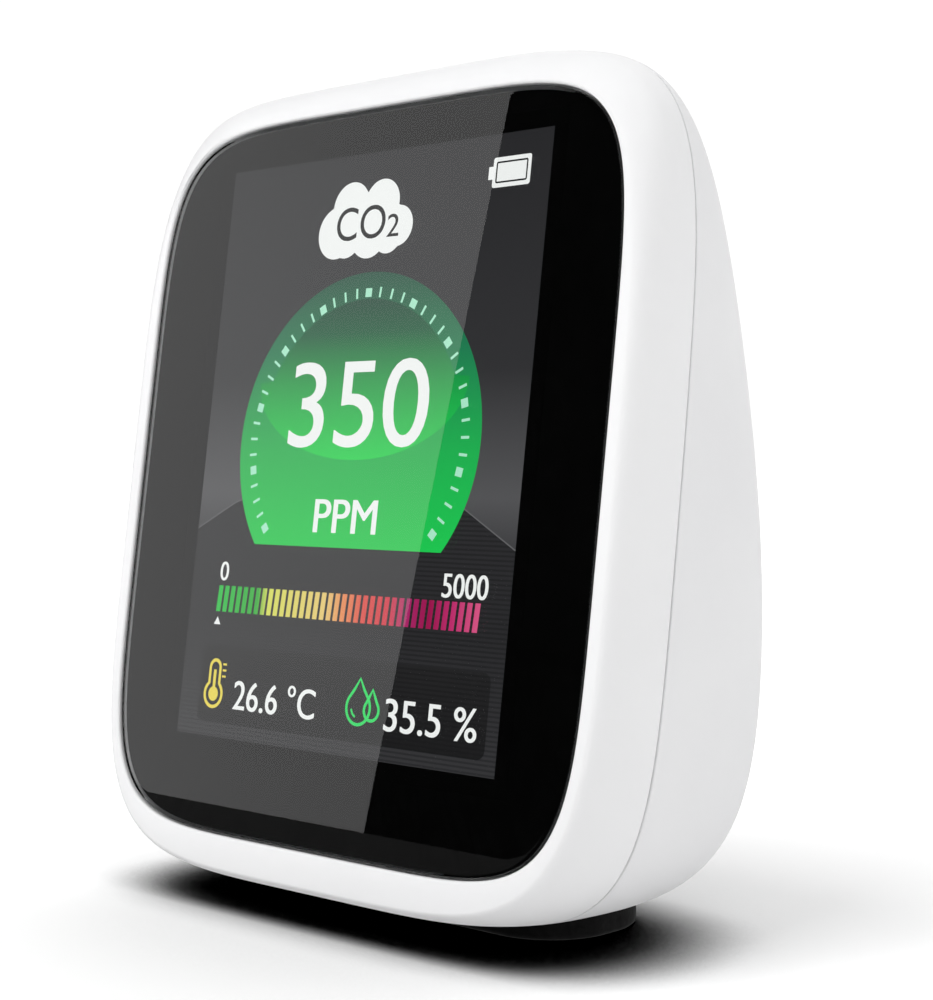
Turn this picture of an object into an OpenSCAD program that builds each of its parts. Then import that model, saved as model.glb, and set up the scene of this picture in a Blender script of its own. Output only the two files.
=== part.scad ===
// Desktop air quality monitor: a leaning, pebble-shaped casing with a glass front,
// a colour display, a gas sensor, a battery, a charging socket and one push button.
// X runs across, Y from front to back and Z up. The part rests on Z = 0.

/* [Casing] */
// Width of the casing
body_w = 68.6; // [66:0.1:90]
// Height of the casing, along its leaning front
body_h = 79.3; // [78:0.1:100]
// Depth of the casing at half height
body_d = 28.1; // [26:0.1:36]
// How much shallower the casing is at its top than at half height, before the curve
body_taper = 14.7; // [10:0.1:15]
// Extra loss of depth at the top and at the bottom
body_curve = 8.3; // [5:0.1:9]
// Drop of the casing's middle below the display's middle
body_drop = 3.5; // [3:0.1:5]
// Lean of the front, in degrees
lean = 8; // [4:0.5:12]
// Squareness of the outline at the front, where 2 is an ellipse
front_square = 4.8; // [4.4:0.1:6]
// Squareness of the outline at the back
back_square = 8; // [6:0.5:9]
// How late the sides turn in to the back, upper half
back_turn = 8; // [7:0.5:9]
// How much earlier the underside turns in
low_turn = 2.5; // [0:0.1:3]
// Roundness of the back, where 2 is an ellipse
back_round = 1.8; // [1.6:0.1:2.2]
// Width of the rounded rim round the front
rim_w = 1.9; // [1:0.1:2.2]
// Share of the depth that the rim takes to reach full width
rim_share = 0.27; // [0.2:0.01:0.3]
// Wall of both shells
wall = 2; // [1.6:0.1:2.4]
// Depth of the joint between the shells
split_d = 7.6; // [7:0.1:9]
// Largest share of the depth at which the joint runs, along the top
split_share = 0.62; // [0.5:0.01:0.7]

/* [Front glass and display] */
// Width of the cover glass
glass_w = 62; // [60:0.5:63]
// Height of the cover glass
glass_h = 71; // [70:0.5:72]
// Thickness of the cover glass
glass_t = 1.1; // [0.7:0.1:1.5]
// Squareness of the glass outline
glass_square = 6.1; // [5:0.1:7]
// Drop of the glass's middle below the display's middle
glass_drop = 2.5; // [2:0.1:3]
// Width of the lit area
screen_w = 43.2; // [40:0.1:44]
// Height of the lit area
screen_h = 57.6; // [54:0.1:58]
// Width of the display module
module_w = 50; // [48:0.1:50.2]
// Height of the display module
module_h = 68.6; // [66:0.1:68.8]
// Border of the module above the lit area
module_top = 2.4; // [2:0.1:2.6]

/* [Boards] */
// Thickness of every circuit board
board_t = 1.2; // [0.8:0.1:1.6]
// Width of the main board
main_w = 59.2; // [58:0.1:60]
// Top edge of the main board above the display's middle
main_top = 23.5; // [22:0.1:24]
// Bottom edge of the main board below the display's middle
main_bottom = 12; // [10:0.1:13]
// Width of the gas sensor
gas_w = 32; // [28:0.5:33]
// Height of the gas sensor
gas_h = 20; // [18:0.5:20]
// Thickness of the gas sensor's chamber
gas_t = 6.4; // [5:0.1:6.6]
// Length of the battery, across the casing
cell_l = 40; // [34:0.5:42]
// Depth of the battery
cell_d = 14; // [12:0.5:15]
// Height of the battery
cell_t = 6; // [5:0.1:6.4]

/* [Back] */
// Drop of the charging socket below the display's middle
port_drop = 22.4; // [20:0.1:24]
// Width of the charging socket
port_w = 8.94; // [8.9:0.01:9]
// Height of the charging socket
port_h = 3.26; // [3.2:0.01:3.3]
// Offset of the push button from the middle
button_x = 13.5; // [12:0.5:15]
// Diameter of the push button
button_d = 6.4; // [5:0.1:7]
// Travel of the push button
button_travel = 0.6; // [0.3:0.1:0.8]
// Number of vent slots
vent_count = 7; // [3:1:8]
// Length of a vent slot
vent_l = 26; // [16:1:28]
// Width of a vent slot
vent_w = 1.6; // [1:0.1:2]
// Spacing of the vent slots
vent_pitch = 3.1; // [2.8:0.1:3.4]

/* [Base] */
// Width of the rubber base
pad_w = 43; // [36:0.5:48]
// Depth of the rubber base
pad_d = 16; // [14:0.1:20]
// Radius of the base's corners
pad_r = 7; // [3:0.5:8]
// Height of the base's edge
pad_h = 4.6; // [3.5:0.1:6]
// Height of the casing's lowest point above the surface it stands on
stand_h = 2.3; // [1.5:0.1:3.5]
// Distance of the base's front edge behind the joint between the shells
pad_step = 4.2; // [0.6:0.1:5]

/* [Fits] */
// Gap round the glass, and between the lip and its groove
fit_gap = 0.15; // [0.1:0.01:0.2]
// Gap between the moving button and its guide, on the radius
slide_gap = 0.2; // [0.15:0.01:0.25]
// Seam between the shells, as a share of the depth
seam_share = 0.005; // [0.004:0.001:0.008]
// Radius of a screw's thread
screw_r = 0.95; // [0.8:0.05:1.1]

/* [Hidden] */
sides = 72;
turn = 360 / sides;
skin_back = 1.2;
plate_t = 1.2;
glass_sunk = 0.15;
tape_t = 0.3;
plate_n = glass_sunk + glass_t + tape_t;
inside_n = plate_n + plate_t;
plate_rim = 0.9;
window_edge = 1.4;
lip_share = 0.04;
groove_share = lip_share + 0.01;
lip_skin = wall / 2 + 0.1;
groove_skin = lip_skin - fit_gap;
lay = 0.05;
module_gap = 0.05;
panel_t = 1.2;
backlight_t = 1.2;
module_n = inside_n + lay;
module_back = module_n + panel_t + backlight_t;
module_bottom = screen_h / 2 + module_top - module_h;
board_gap = 1.2;
main_n = module_back + board_gap;
main_back = main_n + board_t;
flex_t = 0.15;
flex_w = 16;
flex_fold = 0.9;
bore_r = screw_r + lay;
pass_r = screw_r + 0.15;
thread_n = inside_n + 0.8;
bore_n = inside_n + 0.4;
boss_r = 2.2;
board_boss_r = 2;
head_r = 1.8;
head_h = 1.2;
recess_r = head_r + 0.2;
seat_r = head_r + 1.4;
screw_x = body_w / 2 - 6.7;
screw_top = body_h / 2 - body_drop - 9.35;
screw_low = -body_h / 2 - body_drop + 10.65;
split_top_n = split_d - 2;
split_low_n = split_d + 0.2;
seat_top_n = split_top_n + 1.4;
seat_low_n = split_low_n + 3;
board_screw_x = main_w / 2 - 2.2;
board_screw_s = [4 - main_bottom, main_top - 4.5];
port_z = -port_drop;
port_board_z = port_z - port_h / 2 - board_t;
port_top = port_board_z + board_t;
port_l = 7.3;
port_wall = 0.3;
mouth_gap = 0.7;
port_screw_x = 24;
port_screw_y = 12;
button_r = button_d / 2;
button_proud = button_travel + 0.1;
flange_r = button_r + 0.8;
flange_y = 2.8;
flange_t = 0.8;
stem_r = 1.2;
stem_y = 5.4;
sleeve_wall = 2.1;
sleeve_y = 4.8;
switch_d = 3.6;
switch_travel_gap = 1;
plunger_r = 1;
reset_r = 0.6;
gas_x = 4;
gas_s = gas_h / 2 - 8;
gas_standoff = 1.2;
gas_board_t = 1;
gas_n = main_back + gas_standoff + gas_board_t;
cell_front = 3;
cell_z = port_board_z - 4.4 - cell_t;
rib_x = 12;
rib_t = 1.2;
ribbon_w = 10;
ribbon_t = 0.3;
ribbon_n = main_back + 1;
ribbon_y = ribbon_n * cos(lean) - main_bottom * sin(lean);
far = 60;

// A number raised to a power, keeping it real at zero.
function power(v, e) = v <= 0 ? 0 : pow(v, e);
// Distance from the middle to a unit squared ellipse, in a direction.
function reach(angle, square) =
    pow(power(abs(cos(angle)), square) + power(abs(sin(angle)), square), -1 / square);
// Height on the casing as a share of half its height, from the casing's middle.
function rise(s) = (s + body_drop) / (body_h / 2);
// Depth of the casing, level with a height on its front.
function depth_at(s) = body_d - body_taper * rise(s) - body_curve * pow(rise(s), 2);
// Share of the depth at which the shells meet, in a direction from the middle.
function split_at(angle) =
    let (s = reach(angle, front_square) * sin(angle) * body_h / 2 - body_drop)
    1 / sqrt(pow(depth_at(s) / split_d, 2) + pow(1 / split_share, 2));
// How far the rounded rim stands in from the full width.
function rim_in(t) = t >= rim_share ? 0 : rim_w * (1 - sqrt(1 - pow(1 - t / rim_share, 2)));
// How sharply the casing turns in to its back.
function turning(up) = back_turn - low_turn * pow(max(0, -up), 2);
// A point of the casing at a direction and a share of the depth, in the leaning frame.
function casing_point(angle, t, skin, inset) =
    let (
        r = reach(angle, front_square + (back_square - front_square) * t),
        up = r * sin(angle),
        shrink = power(1 - power(t, turning(up)), 1 / back_round),
        x = ((body_w / 2 - skin) * shrink - inset) * r * cos(angle),
        s = ((body_h / 2 - skin) * shrink - inset) * up - body_drop,
        d = t * depth_at(s) - skin * skin_back * pow(t, 3)
    )
    [x, d * cos(lean), s + d * sin(lean)];
// The same point in the upright frame that has its origin at the display's middle.
function upright(p) =
    [p.x, p.y * cos(lean) + p.z * sin(lean), p.z * cos(lean) - p.y * sin(lean)];
// Depth of the casing's back, in the upright frame, at a place on it.
function back_y(x, z) =
    let (
        s = z / cos(lean),
        r = pow(power(abs(x) / (body_w / 2), back_square) + power(abs(rise(s)), back_square),
            1 / back_square),
        t = power(1 - power(r, back_round), 1 / turning(rise(s)))
    )
    t * depth_at(s) + s * sin(lean);

outside = [for (t = [0:0.04:1]) for (a = [0:turn:360 - turn])
    upright(casing_point(a, t, 0, rim_in(t)))];
button_y = back_y(button_x, port_z);
face_y = -(max(button_y + button_proud, max([for (p = outside) p.y]))
    + min([for (p = outside) p.y])) / 2;
face_z = stand_h - min([for (p = outside) p.z]);
port_y = back_y(0, port_z) - 0.5;
switch_y = button_y - stem_y - switch_travel_gap - button_travel;
joint_low = upright(casing_point(270, split_at(270), 0, 0));
pad_front = joint_low.y + pad_step;
vent_low = casing_point(90, 0.985, 0, 0);
vent_high = casing_point(90, 0.85, 0, 0);
vent_slope = atan2(vent_low.y - vent_high.y, vent_high.z - vent_low.z);
vent_mid = (vent_low + vent_high) / 2;
mesh_gap = 0.3;
mesh_t = 0.4;
// Shares of the front shell's depth at its rings, closer together on the rounded rim.
rim_steps = [for (k = [0:6]) 1 - cos(k * 15)];
// Shares of the rear shell's depth at its rings, closer together towards the back.
rear_steps = [for (k = [0:11]) sin(k * 7.5)];

// One ring of the casing at a share of the way to the joint.
function front_ring(share, skin) = [for (a = [0:turn:360 - turn])
    let (t = share * split_at(a)) casing_point(a, t, skin, rim_in(t))];
// One ring of the casing at a share of the way from just behind the joint to the back.
function rear_ring(share, skin, behind) = [for (a = [0:turn:360 - turn])
    let (t0 = split_at(a) + behind, t = t0 + (1 - t0) * share)
    casing_point(a, t, skin, rim_in(t))];
// One ring of a squared ellipse at a depth, in the leaning frame.
function flat_ring(w, h, square, drop, n) = [for (a = [0:turn:360 - turn])
    let (r = reach(a, square)) [w / 2 * r * cos(a), n, h / 2 * r * sin(a) - drop]];
// Ring of the inner wall at a depth, in the leaning frame.
function wall_ring(n) = [for (a = [0:turn:360 - turn])
    let (
        s = reach(a, front_square) * sin(a) * (body_h / 2 - wall) - body_drop,
        t = n / cos(lean) / depth_at(s)
    )
    casing_point(a, t, wall, rim_in(t))];

// Triangles between neighbouring rings, and round to the first ring where closed.
function bands(count, closed) = [
    for (k = [0:count - (closed ? 1 : 2)])
        for (i = [0:sides - 1])
            let (j = (i + 1) % sides, k2 = (k + 1) % count)
            for (f = [
                [k * sides + i, k * sides + j, k2 * sides + j],
                [k * sides + i, k2 * sides + j, k2 * sides + i]
            ]) f
];
// Fan of triangles over a ring, to one added point.
function fan(ring, tip, flip) = [for (i = [0:sides - 1])
    let (a = ring * sides + i, b = ring * sides + (i + 1) % sides)
    flip ? [b, a, tip] : [a, b, tip]];
function joined(lists) = [for (l = lists) for (p = l) p];

// A tube-like solid whose rings run round a wall and meet again.
module ring_wall(rings) {
    polyhedron(points = joined(rings), faces = bands(len(rings), true), convexity = 6);
}

// A closed solid through rings, with a point at each end.
module ring_solid(rings, first, last) {
    n = len(rings);
    polyhedron(
        points = concat(joined(rings), [first, last]),
        faces = concat(bands(n, false), fan(n - 1, n * sides + 1, false),
            fan(0, n * sides, true)),
        convexity = 6
    );
}

// Places children in the leaning frame: X across, Y into the casing, Z up the front.
module leaning() {
    translate([0, face_y, face_z]) rotate([-lean, 0, 0]) children();
}

// Places children level, from the display's middle.
module level() {
    translate([0, face_y, face_z]) children();
}

// A rod along Y from y0 to y1.
module rod(x, z, r, y0, y1, fn = 48) {
    translate([x, y1, z]) rotate([90, 0, 0]) cylinder(r = r, h = y1 - y0, $fn = fn);
}

// A box with a corner at low, and a size.
module block(low, size) {
    translate(low) cube(size);
}

// Slot outline with round ends.
module slot(length, width) {
    square([length - width, width], center = true);
    for (side = [-1, 1]) translate([side * (length - width) / 2, 0]) circle(d = width, $fn = 32);
}

// Rectangle with round corners.
module round_rect(w, h, r) {
    square([w - 2 * r, h], center = true);
    square([w, h - 2 * r], center = true);
    for (x = [-1, 1], y = [-1, 1])
        translate([x * (w / 2 - r), y * (h / 2 - r)]) circle(r = r, $fn = 32);
}

// A plate standing across the leaning frame, from depth n0 to n1, of the outline given.
module upstand(n0, n1) {
    translate([0, n1, 0]) rotate([90, 0, 0]) linear_extrude(n1 - n0) children();
}

// Outline of the glass, grown or shrunk.
module glass_outline(grow) {
    translate([0, -glass_drop]) polygon([for (a = [0:turn:360 - turn])
        let (r = reach(a, glass_square))
        [(glass_w / 2 + grow) * r * cos(a), (glass_h / 2 + grow) * r * sin(a)]]);
}

// Everything inside the inner wall, clear of it by a gap, to keep bosses off the other shell.
module room() {
    skin = wall + fit_gap;
    ring_solid(concat(
        [front_ring(0.1, skin)],
        [for (share = rear_steps) rear_ring(share, skin, 0)]
    ), [0, 0.5, 0], casing_point(0, 1, skin, 0));
}

// A rod at each of the four housing screws. Starts gives the upper and lower pairs' depths.
module housing_bosses(top_n, low_n, r, starts) {
    for (side = [-1, 1]) {
        rod(side * screw_x, screw_top, r, starts[0], top_n);
        rod(side * screw_x, screw_low, r, starts[1], low_n);
    }
}

module front_shell() {
    clear_n = inside_n - plate_t / 2;
    color("whitesmoke") leaning() difference() {
        union() {
            ring_wall(concat(
                [for (share = rim_steps) front_ring(share, 0)],
                [rear_ring(0, lip_skin, 0)],
                [rear_ring(0, lip_skin, lip_share)],
                [rear_ring(0, wall, lip_share)],
                [wall_ring(clear_n)],
                [flat_ring(glass_w + 2 * fit_gap, glass_h + 2 * fit_gap,
                    glass_square, glass_drop, plate_n)],
                [flat_ring(glass_w + 2 * fit_gap, glass_h + 2 * fit_gap,
                    glass_square, glass_drop, 0)]
            ));
            upstand(plate_n, inside_n) difference() {
                glass_outline(plate_rim);
                square([screen_w + 2 * window_edge, screen_h + 2 * window_edge], center = true);
            }
            intersection() {
                housing_bosses(split_top_n, split_low_n, boss_r, [plate_n, plate_n]);
                room();
            }
            for (x = [-1, 1], s = board_screw_s)
                rod(x * board_screw_x, s, board_boss_r, plate_n, main_n);
        }
        housing_bosses(far, far, bore_r, [bore_n, bore_n]);
        for (x = [-1, 1], s = board_screw_s) rod(x * board_screw_x, s, bore_r, bore_n, far);
        module_slab(inside_n, module_back + module_gap, -module_gap);
        block([-flex_w / 2 - fit_gap, inside_n, module_bottom - flex_fold - 2 * flex_t],
            [flex_w + 2 * fit_gap, module_back - inside_n + board_gap, flex_fold + 2]);
    }
}

// The whole casing behind the joint, as one solid. A negative skin grows it.
module rear_solid(skin) {
    ring_solid(concat(
        [rear_ring(0, lip_skin, seam_share)],
        [for (share = rear_steps) rear_ring(share, skin, seam_share)]
    ), [0, 5, 0], casing_point(0, 1, skin, 0));
}

// The hollow of the rear shell, with the groove for the front shell's lip.
module rear_hollow() {
    ring_solid(concat(
        [front_ring(0.5, groove_skin)],
        [rear_ring(0, groove_skin, groove_share)],
        [for (share = rear_steps) rear_ring(0.02 + 0.98 * share, wall, groove_share)]
    ), [0, 1, 0], casing_point(0, 1, wall, 0));
}

// The groove alone, which is cut through the bosses too.
module lip_groove() {
    ring_wall([front_ring(0.5, groove_skin), rear_ring(0, groove_skin, groove_share),
        rear_ring(0, wall + fit_gap, groove_share), front_ring(0.5, wall + fit_gap)]);
}

// Places children against the sloping back, a distance up the slope from its middle.
module on_slope(up) {
    run = vent_high - vent_low;
    translate(vent_mid + run * up / norm(run)) rotate([vent_slope, 0, 0]) children();
}

module vents() {
    for (k = [0:vent_count - 1]) on_slope((k - (vent_count - 1) / 2) * vent_pitch)
        upstand(-6, 6) slot(vent_l, vent_w);
}

// Places children upright at the two screws of the charging socket's board.
module port_screw_places(z) {
    for (side = [-1, 1]) translate([side * port_screw_x, port_screw_y, z]) children();
}

module rear_shell() {
    color("whitesmoke") difference() {
        leaning() rear_solid(0);
        difference() {
            leaning() rear_hollow();
            leaning() {
                housing_bosses(far, far, boss_r, [split_top_n, split_low_n]);
                housing_bosses(far, far, seat_r, [seat_top_n - 0.6, seat_low_n - 1.2]);
            }
            level() {
                rod(button_x, port_z, button_r + sleeve_wall, button_y - sleeve_y, far);
                port_screw_places(-far) cylinder(r = boss_r, h = far + port_board_z, $fn = 48);
                for (side = [-1, 1])
                    block([side * rib_x - rib_t / 2, cell_front + 1, -far],
                        [rib_t, cell_d - 2, far + cell_z]);
            }
        }
        leaning() {
            lip_groove();
            housing_bosses(far, far, pass_r + lay, [0, 0]);
            housing_bosses(far, far, recess_r, [seat_top_n, seat_low_n]);
            vents();
        }
        level() {
            rod(button_x, port_z, button_r + slide_gap, button_y - stem_y, far);
            rod(button_x, port_z, flange_r + slide_gap, button_y - stem_y,
                button_y - flange_y + 0.1);
            rod(-button_x, port_z, reset_r, button_y - stem_y, far, 24);
            translate([0, 0, port_z]) upstand(port_y - 3, far)
                slot(port_w + mouth_gap, port_h + mouth_gap);
            port_screw_places(port_board_z - 6) cylinder(r = bore_r, h = 12, $fn = 32);
        }
    }
}

module cover_glass() {
    color("black", 0.6) leaning() upstand(glass_sunk, glass_sunk + glass_t) glass_outline(0);
}

module glass_adhesive() {
    color("dimgray") leaning() upstand(glass_sunk + glass_t, plate_n) difference() {
        glass_outline(-0.4);
        square([screen_w + 2 * window_edge + 0.6, screen_h + 2 * window_edge + 0.6], center = true);
    }
}

// A slab of the display module's outline.
module module_slab(n0, n1, inset) {
    mid = screen_h / 2 + module_top - module_h / 2;
    translate([0, 0, mid]) upstand(n0, n1)
        square([module_w - 2 * inset, module_h - 2 * inset], center = true);
}

// The panel's raised front fills the window and reaches almost to the glass.
module screen_panel() {
    raised_w = screen_w + 2 * window_edge - 2 * fit_gap;
    raised_h = screen_h + 2 * window_edge - 2 * fit_gap;
    color("darkslategray") leaning() {
        module_slab(module_n, module_n + panel_t, 0.2);
        upstand(glass_sunk + glass_t + lay, module_n) square([raised_w, raised_h], center = true);
    }
}

module screen_backlight() {
    color("silver") leaning() module_slab(module_n + panel_t, module_back, 0);
}

module screen_flex() {
    low = module_bottom - flex_fold;
    top = 3.4 - main_bottom;
    start_n = module_n + panel_t / 2;
    back_n = module_back + 0.1;
    color("orange") leaning() {
        block([-flex_w / 2, start_n, low], [flex_w, flex_t, flex_fold + 0.2]);
        block([-flex_w / 2, start_n, low - flex_t], [flex_w, back_n + flex_t - start_n, flex_t]);
        block([-flex_w / 2, back_n, low], [flex_w, flex_t, top - low]);
    }
}

module flex_connector() {
    color("ivory") leaning()
        block([-9, module_back + 0.1 + flex_t, 0.4 - main_bottom],
            [18, board_gap - 0.1 - flex_t, 3]);
}

module main_board() {
    color("darkgreen") leaning() difference() {
        translate([0, 0, (main_top - main_bottom) / 2]) upstand(main_n, main_back)
            round_rect(main_w, main_top + main_bottom, 2);
        for (x = [-1, 1], s = board_screw_s)
            rod(x * board_screw_x, s, pass_r, 0, far, 32);
    }
}

// A pan-head screw along Y, its head's underside at y, its tip towards the front.
module screw(x, z, y, length) {
    difference() {
        union() {
            rod(x, z, screw_r, y - length, y, 32);
            rod(x, z, head_r, y, y + head_h, 32);
        }
        for (turned = [0, 90]) translate([x, y + head_h, z]) rotate([0, turned, 0])
            cube([2.2, 1.4, 0.5], center = true);
    }
}

module board_screws() {
    color("silver") leaning() for (x = [-1, 1], s = board_screw_s)
        screw(x * board_screw_x, s, main_back, main_back - thread_n);
}

module board_chips() {
    color("black") leaning() {
        block([-4, main_back, 14.5], [7, 0.9, 7]);
        block([7, main_back, 15], [5, 0.8, 5]);
        block([16, main_back, 16], [6, 1.2, 4]);
        for (k = [0:5]) block([-24 + k * 2, main_back, 3 - (k % 2)], [1, 0.5, 0.6]);
    }
}

module gas_sensor_board() {
    color("seagreen") leaning() translate([gas_x, 0, gas_s])
        upstand(main_back + gas_standoff, gas_n) square([gas_w + 1, gas_h], center = true);
}

module gas_sensor() {
    color("gold") leaning() translate([gas_x, 0, gas_s]) {
        upstand(gas_n, gas_n + gas_t) round_rect(gas_w, gas_h - 1, 1.5);
    }
}

module gas_membrane() {
    color("white") leaning() translate([gas_x, 0, gas_s])
        upstand(gas_n + gas_t, gas_n + gas_t + 0.2) slot(18, 7);
}

module gas_sensor_pins() {
    color("goldenrod") leaning() for (side = [-1, 1], k = [0:3])
        block([gas_x + side * (gas_w / 2 - 1.6) - 0.3, main_back, gas_s - 4.1 + k * 2.54],
            [0.6, gas_standoff, 0.6]);
}

module climate_board() {
    color("darkgreen") leaning() {
        block([-26, main_back + 1.8, 9], [9, 0.8, 10]);
        block([-25, main_back, 9.4], [7, 1.8, 2]);
    }
}

module climate_sensor() {
    color("white") leaning() translate([-21.5, 0, 15.6])
        upstand(main_back + 2.6, main_back + 3.8) round_rect(3, 3, 0.4);
}

module buzzer() {
    color("black") leaning() difference() {
        rod(-20.5, -3.4, 4.5, main_back, main_back + 4.2);
        rod(-20.5, -3.4, 0.8, main_back + 3, far, 24);
    }
}

// The two sockets that the ribbon plugs in to.
module ribbon_sockets() {
    color("ivory") {
        leaning() difference() {
            block([-ribbon_w / 2 - 1, main_back, 0.3 - main_bottom], [ribbon_w + 2, 2.2, 3.2]);
            block([-ribbon_w / 2 - 0.2, ribbon_n - 0.7, -1 - main_bottom], [ribbon_w + 0.4, 1.4, 4]);
        }
        level() difference() {
            block([-ribbon_w / 2 - 1, ribbon_y - 1.5, port_top], [ribbon_w + 2, 3, 2.6]);
            block([-ribbon_w / 2 - 0.1, ribbon_y - 0.25, port_top + 0.6],
                [ribbon_w + 0.2, 0.5, 3]);
        }
    }
}

module link_ribbon() {
    bottom = port_top + 0.7;
    color("white") level() block([-ribbon_w / 2, ribbon_y - ribbon_t / 2, bottom],
        [ribbon_w, ribbon_t, -main_bottom + 0.4 - bottom]);
}

module port_board() {
    wide_back = port_screw_y + 5;
    color("darkgreen") level() difference() {
        translate([0, 0, port_board_z]) linear_extrude(board_t) {
            tongue_of_board(54, ribbon_y - 3, wide_back);
            tongue_of_board(38, port_screw_y, button_y - sleeve_y - 0.4);
            tongue_of_board(14, port_screw_y, port_y - 3.4);
        }
        port_screw_places(port_board_z - 1) cylinder(r = pass_r, h = board_t + 2, $fn = 32);
    }
}

// One step of the board's outline, from y0 back to y1.
module tongue_of_board(width, y0, y1) {
    translate([0, (y0 + y1) / 2]) round_rect(width, y1 - y0, 1.5);
}

module port_board_screws() {
    color("silver") level() port_screw_places(port_top) rotate([90, 0, 0])
        screw(0, 0, 0, board_t + 4.4);
}

module port_chips() {
    color("black") level() {
        block([-12.5, 12, port_top], [4, 4, 0.9]);
        block([-18, 10, port_top], [4, 4, 2]);
        block([8, 10, port_top], [3, 2, 1.1]);
        block([-15.5, switch_y - 2.8, port_top], [4, 4.2, 1.6]);
    }
}

module usb_socket() {
    color("silver") level() translate([0, 0, port_z]) difference() {
        upstand(port_y - port_l, port_y) slot(port_w, port_h);
        upstand(port_y - port_l + 1.2, far) slot(port_w - 2 * port_wall, port_h - 2 * port_wall);
    }
}

module usb_tongue() {
    w = port_w - 2.24;
    color("dimgray") level()
        block([-w / 2, port_y - port_l + 1.2, port_z - 0.35], [w, port_l - 2, 0.7]);
}

module switch_body() {
    color("dimgray") level() difference() {
        block([button_x - 3, switch_y - switch_d, port_top], [6, switch_d, port_h / 2 + 1.57]);
        rod(button_x, port_z, plunger_r + slide_gap, switch_y - 2.4, far, 32);
    }
}

module switch_plunger() {
    color("black") level()
        rod(button_x, port_z, plunger_r, switch_y - 1.4, button_y - stem_y, 32);
}

// Cap, retaining flange and stem, turned about the button's axis.
module power_button() {
    crown = 0.5;
    sphere_r = (pow(button_r, 2) + pow(crown, 2)) / (2 * crown);
    color("whitesmoke") level() translate([button_x, button_y, port_z]) rotate([-90, 0, 0])
        rotate_extrude($fn = 64) polygon(concat(
            [[0, -stem_y], [stem_r, -stem_y], [stem_r, -flange_y - flange_t],
                [flange_r, -flange_y - flange_t], [flange_r, -flange_y], [button_r, -flange_y]],
            [for (k = [0:6]) let (x = button_r * (1 - k / 6))
                [x, button_proud - sphere_r + sqrt(pow(sphere_r, 2) - pow(x, 2))]]
        ));
}

module battery_cell() {
    color("silver") level() translate([0, cell_front + cell_d / 2, cell_z]) linear_extrude(cell_t)
        round_rect(cell_l, cell_d, 2);
}

module battery_plug() {
    color("ivory") level() block([14, 9, port_top], [5, 4, 3]);
}

// The two leads run round the board's front edge from the cell to the plug.
module battery_lead() {
    gap = 0.2;
    front = ribbon_y - 4;
    low = cell_z + cell_t;
    high = port_top + 1.4;
    for (k = [0, 1]) color(["red", "black"][k]) level() translate([15.4 + k * 1.6, 0, 0]) {
        rod(0, high, 0.4, front, 9, 16);
        translate([0, front, low + gap]) cylinder(r = 0.4, h = high - low - gap, $fn = 16);
        translate([0, front, high]) sphere(r = 0.4, $fn = 16);
        rod(0, low + gap + 0.4, 0.4, front, front + 3, 16);
    }
}

module dust_mesh() {
    color("dimgray") leaning() intersection() {
        on_slope(0) upstand(-wall - mesh_gap - mesh_t, -wall - mesh_gap)
            round_rect(vent_l + 3, vent_pitch * vent_count + 0.4, 1.5);
        room();
    }
}

module housing_screws() {
    color("silver") leaning() for (side = [-1, 1]) {
        screw(side * screw_x, screw_top, seat_top_n, seat_top_n - thread_n);
        screw(side * screw_x, screw_low, seat_low_n, seat_low_n - thread_n);
    }
}

module base_pad() {
    glue = 0.05;
    color("black") difference() {
        translate([0, face_y + pad_front + pad_d / 2, 0]) linear_extrude(pad_h)
            round_rect(pad_w, pad_d, pad_r);
        leaning() rear_solid(-glue);
    }
}

front_shell();
rear_shell();
cover_glass();
glass_adhesive();
screen_panel();
screen_backlight();
screen_flex();
flex_connector();
main_board();
board_screws();
board_chips();
gas_sensor_board();
gas_sensor();
gas_membrane();
gas_sensor_pins();
climate_board();
climate_sensor();
buzzer();
ribbon_sockets();
link_ribbon();
port_board();
port_board_screws();
port_chips();
usb_socket();
usb_tongue();
switch_body();
switch_plunger();
power_button();
battery_cell();
battery_plug();
battery_lead();
dust_mesh();
housing_screws();
base_pad();
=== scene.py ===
import math

import bpy
import numpy as np
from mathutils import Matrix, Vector


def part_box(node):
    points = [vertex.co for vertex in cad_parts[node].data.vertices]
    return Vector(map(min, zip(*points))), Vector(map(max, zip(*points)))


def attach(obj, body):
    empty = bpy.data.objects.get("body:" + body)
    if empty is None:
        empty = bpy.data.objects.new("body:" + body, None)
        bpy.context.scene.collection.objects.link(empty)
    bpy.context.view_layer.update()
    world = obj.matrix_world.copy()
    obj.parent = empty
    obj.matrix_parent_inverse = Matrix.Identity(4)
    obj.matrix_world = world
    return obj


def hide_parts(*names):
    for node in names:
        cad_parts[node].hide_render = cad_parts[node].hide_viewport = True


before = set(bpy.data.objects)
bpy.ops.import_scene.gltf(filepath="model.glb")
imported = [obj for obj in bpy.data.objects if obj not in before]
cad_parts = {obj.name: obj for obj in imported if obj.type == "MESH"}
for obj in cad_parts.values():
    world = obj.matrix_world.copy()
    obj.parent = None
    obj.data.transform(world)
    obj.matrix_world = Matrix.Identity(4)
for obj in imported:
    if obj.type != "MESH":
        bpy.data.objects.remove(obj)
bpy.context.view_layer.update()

# Sizes are in millimetres, as in the CAD source, and become metres where a mesh is made.
# The leaning frame has X across, N into the casing and S up the sloping front, from the
# display's middle. The level frame has the same origin, with Y back and Z up.
MM = 0.001
LEAN = math.radians(8)
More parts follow.
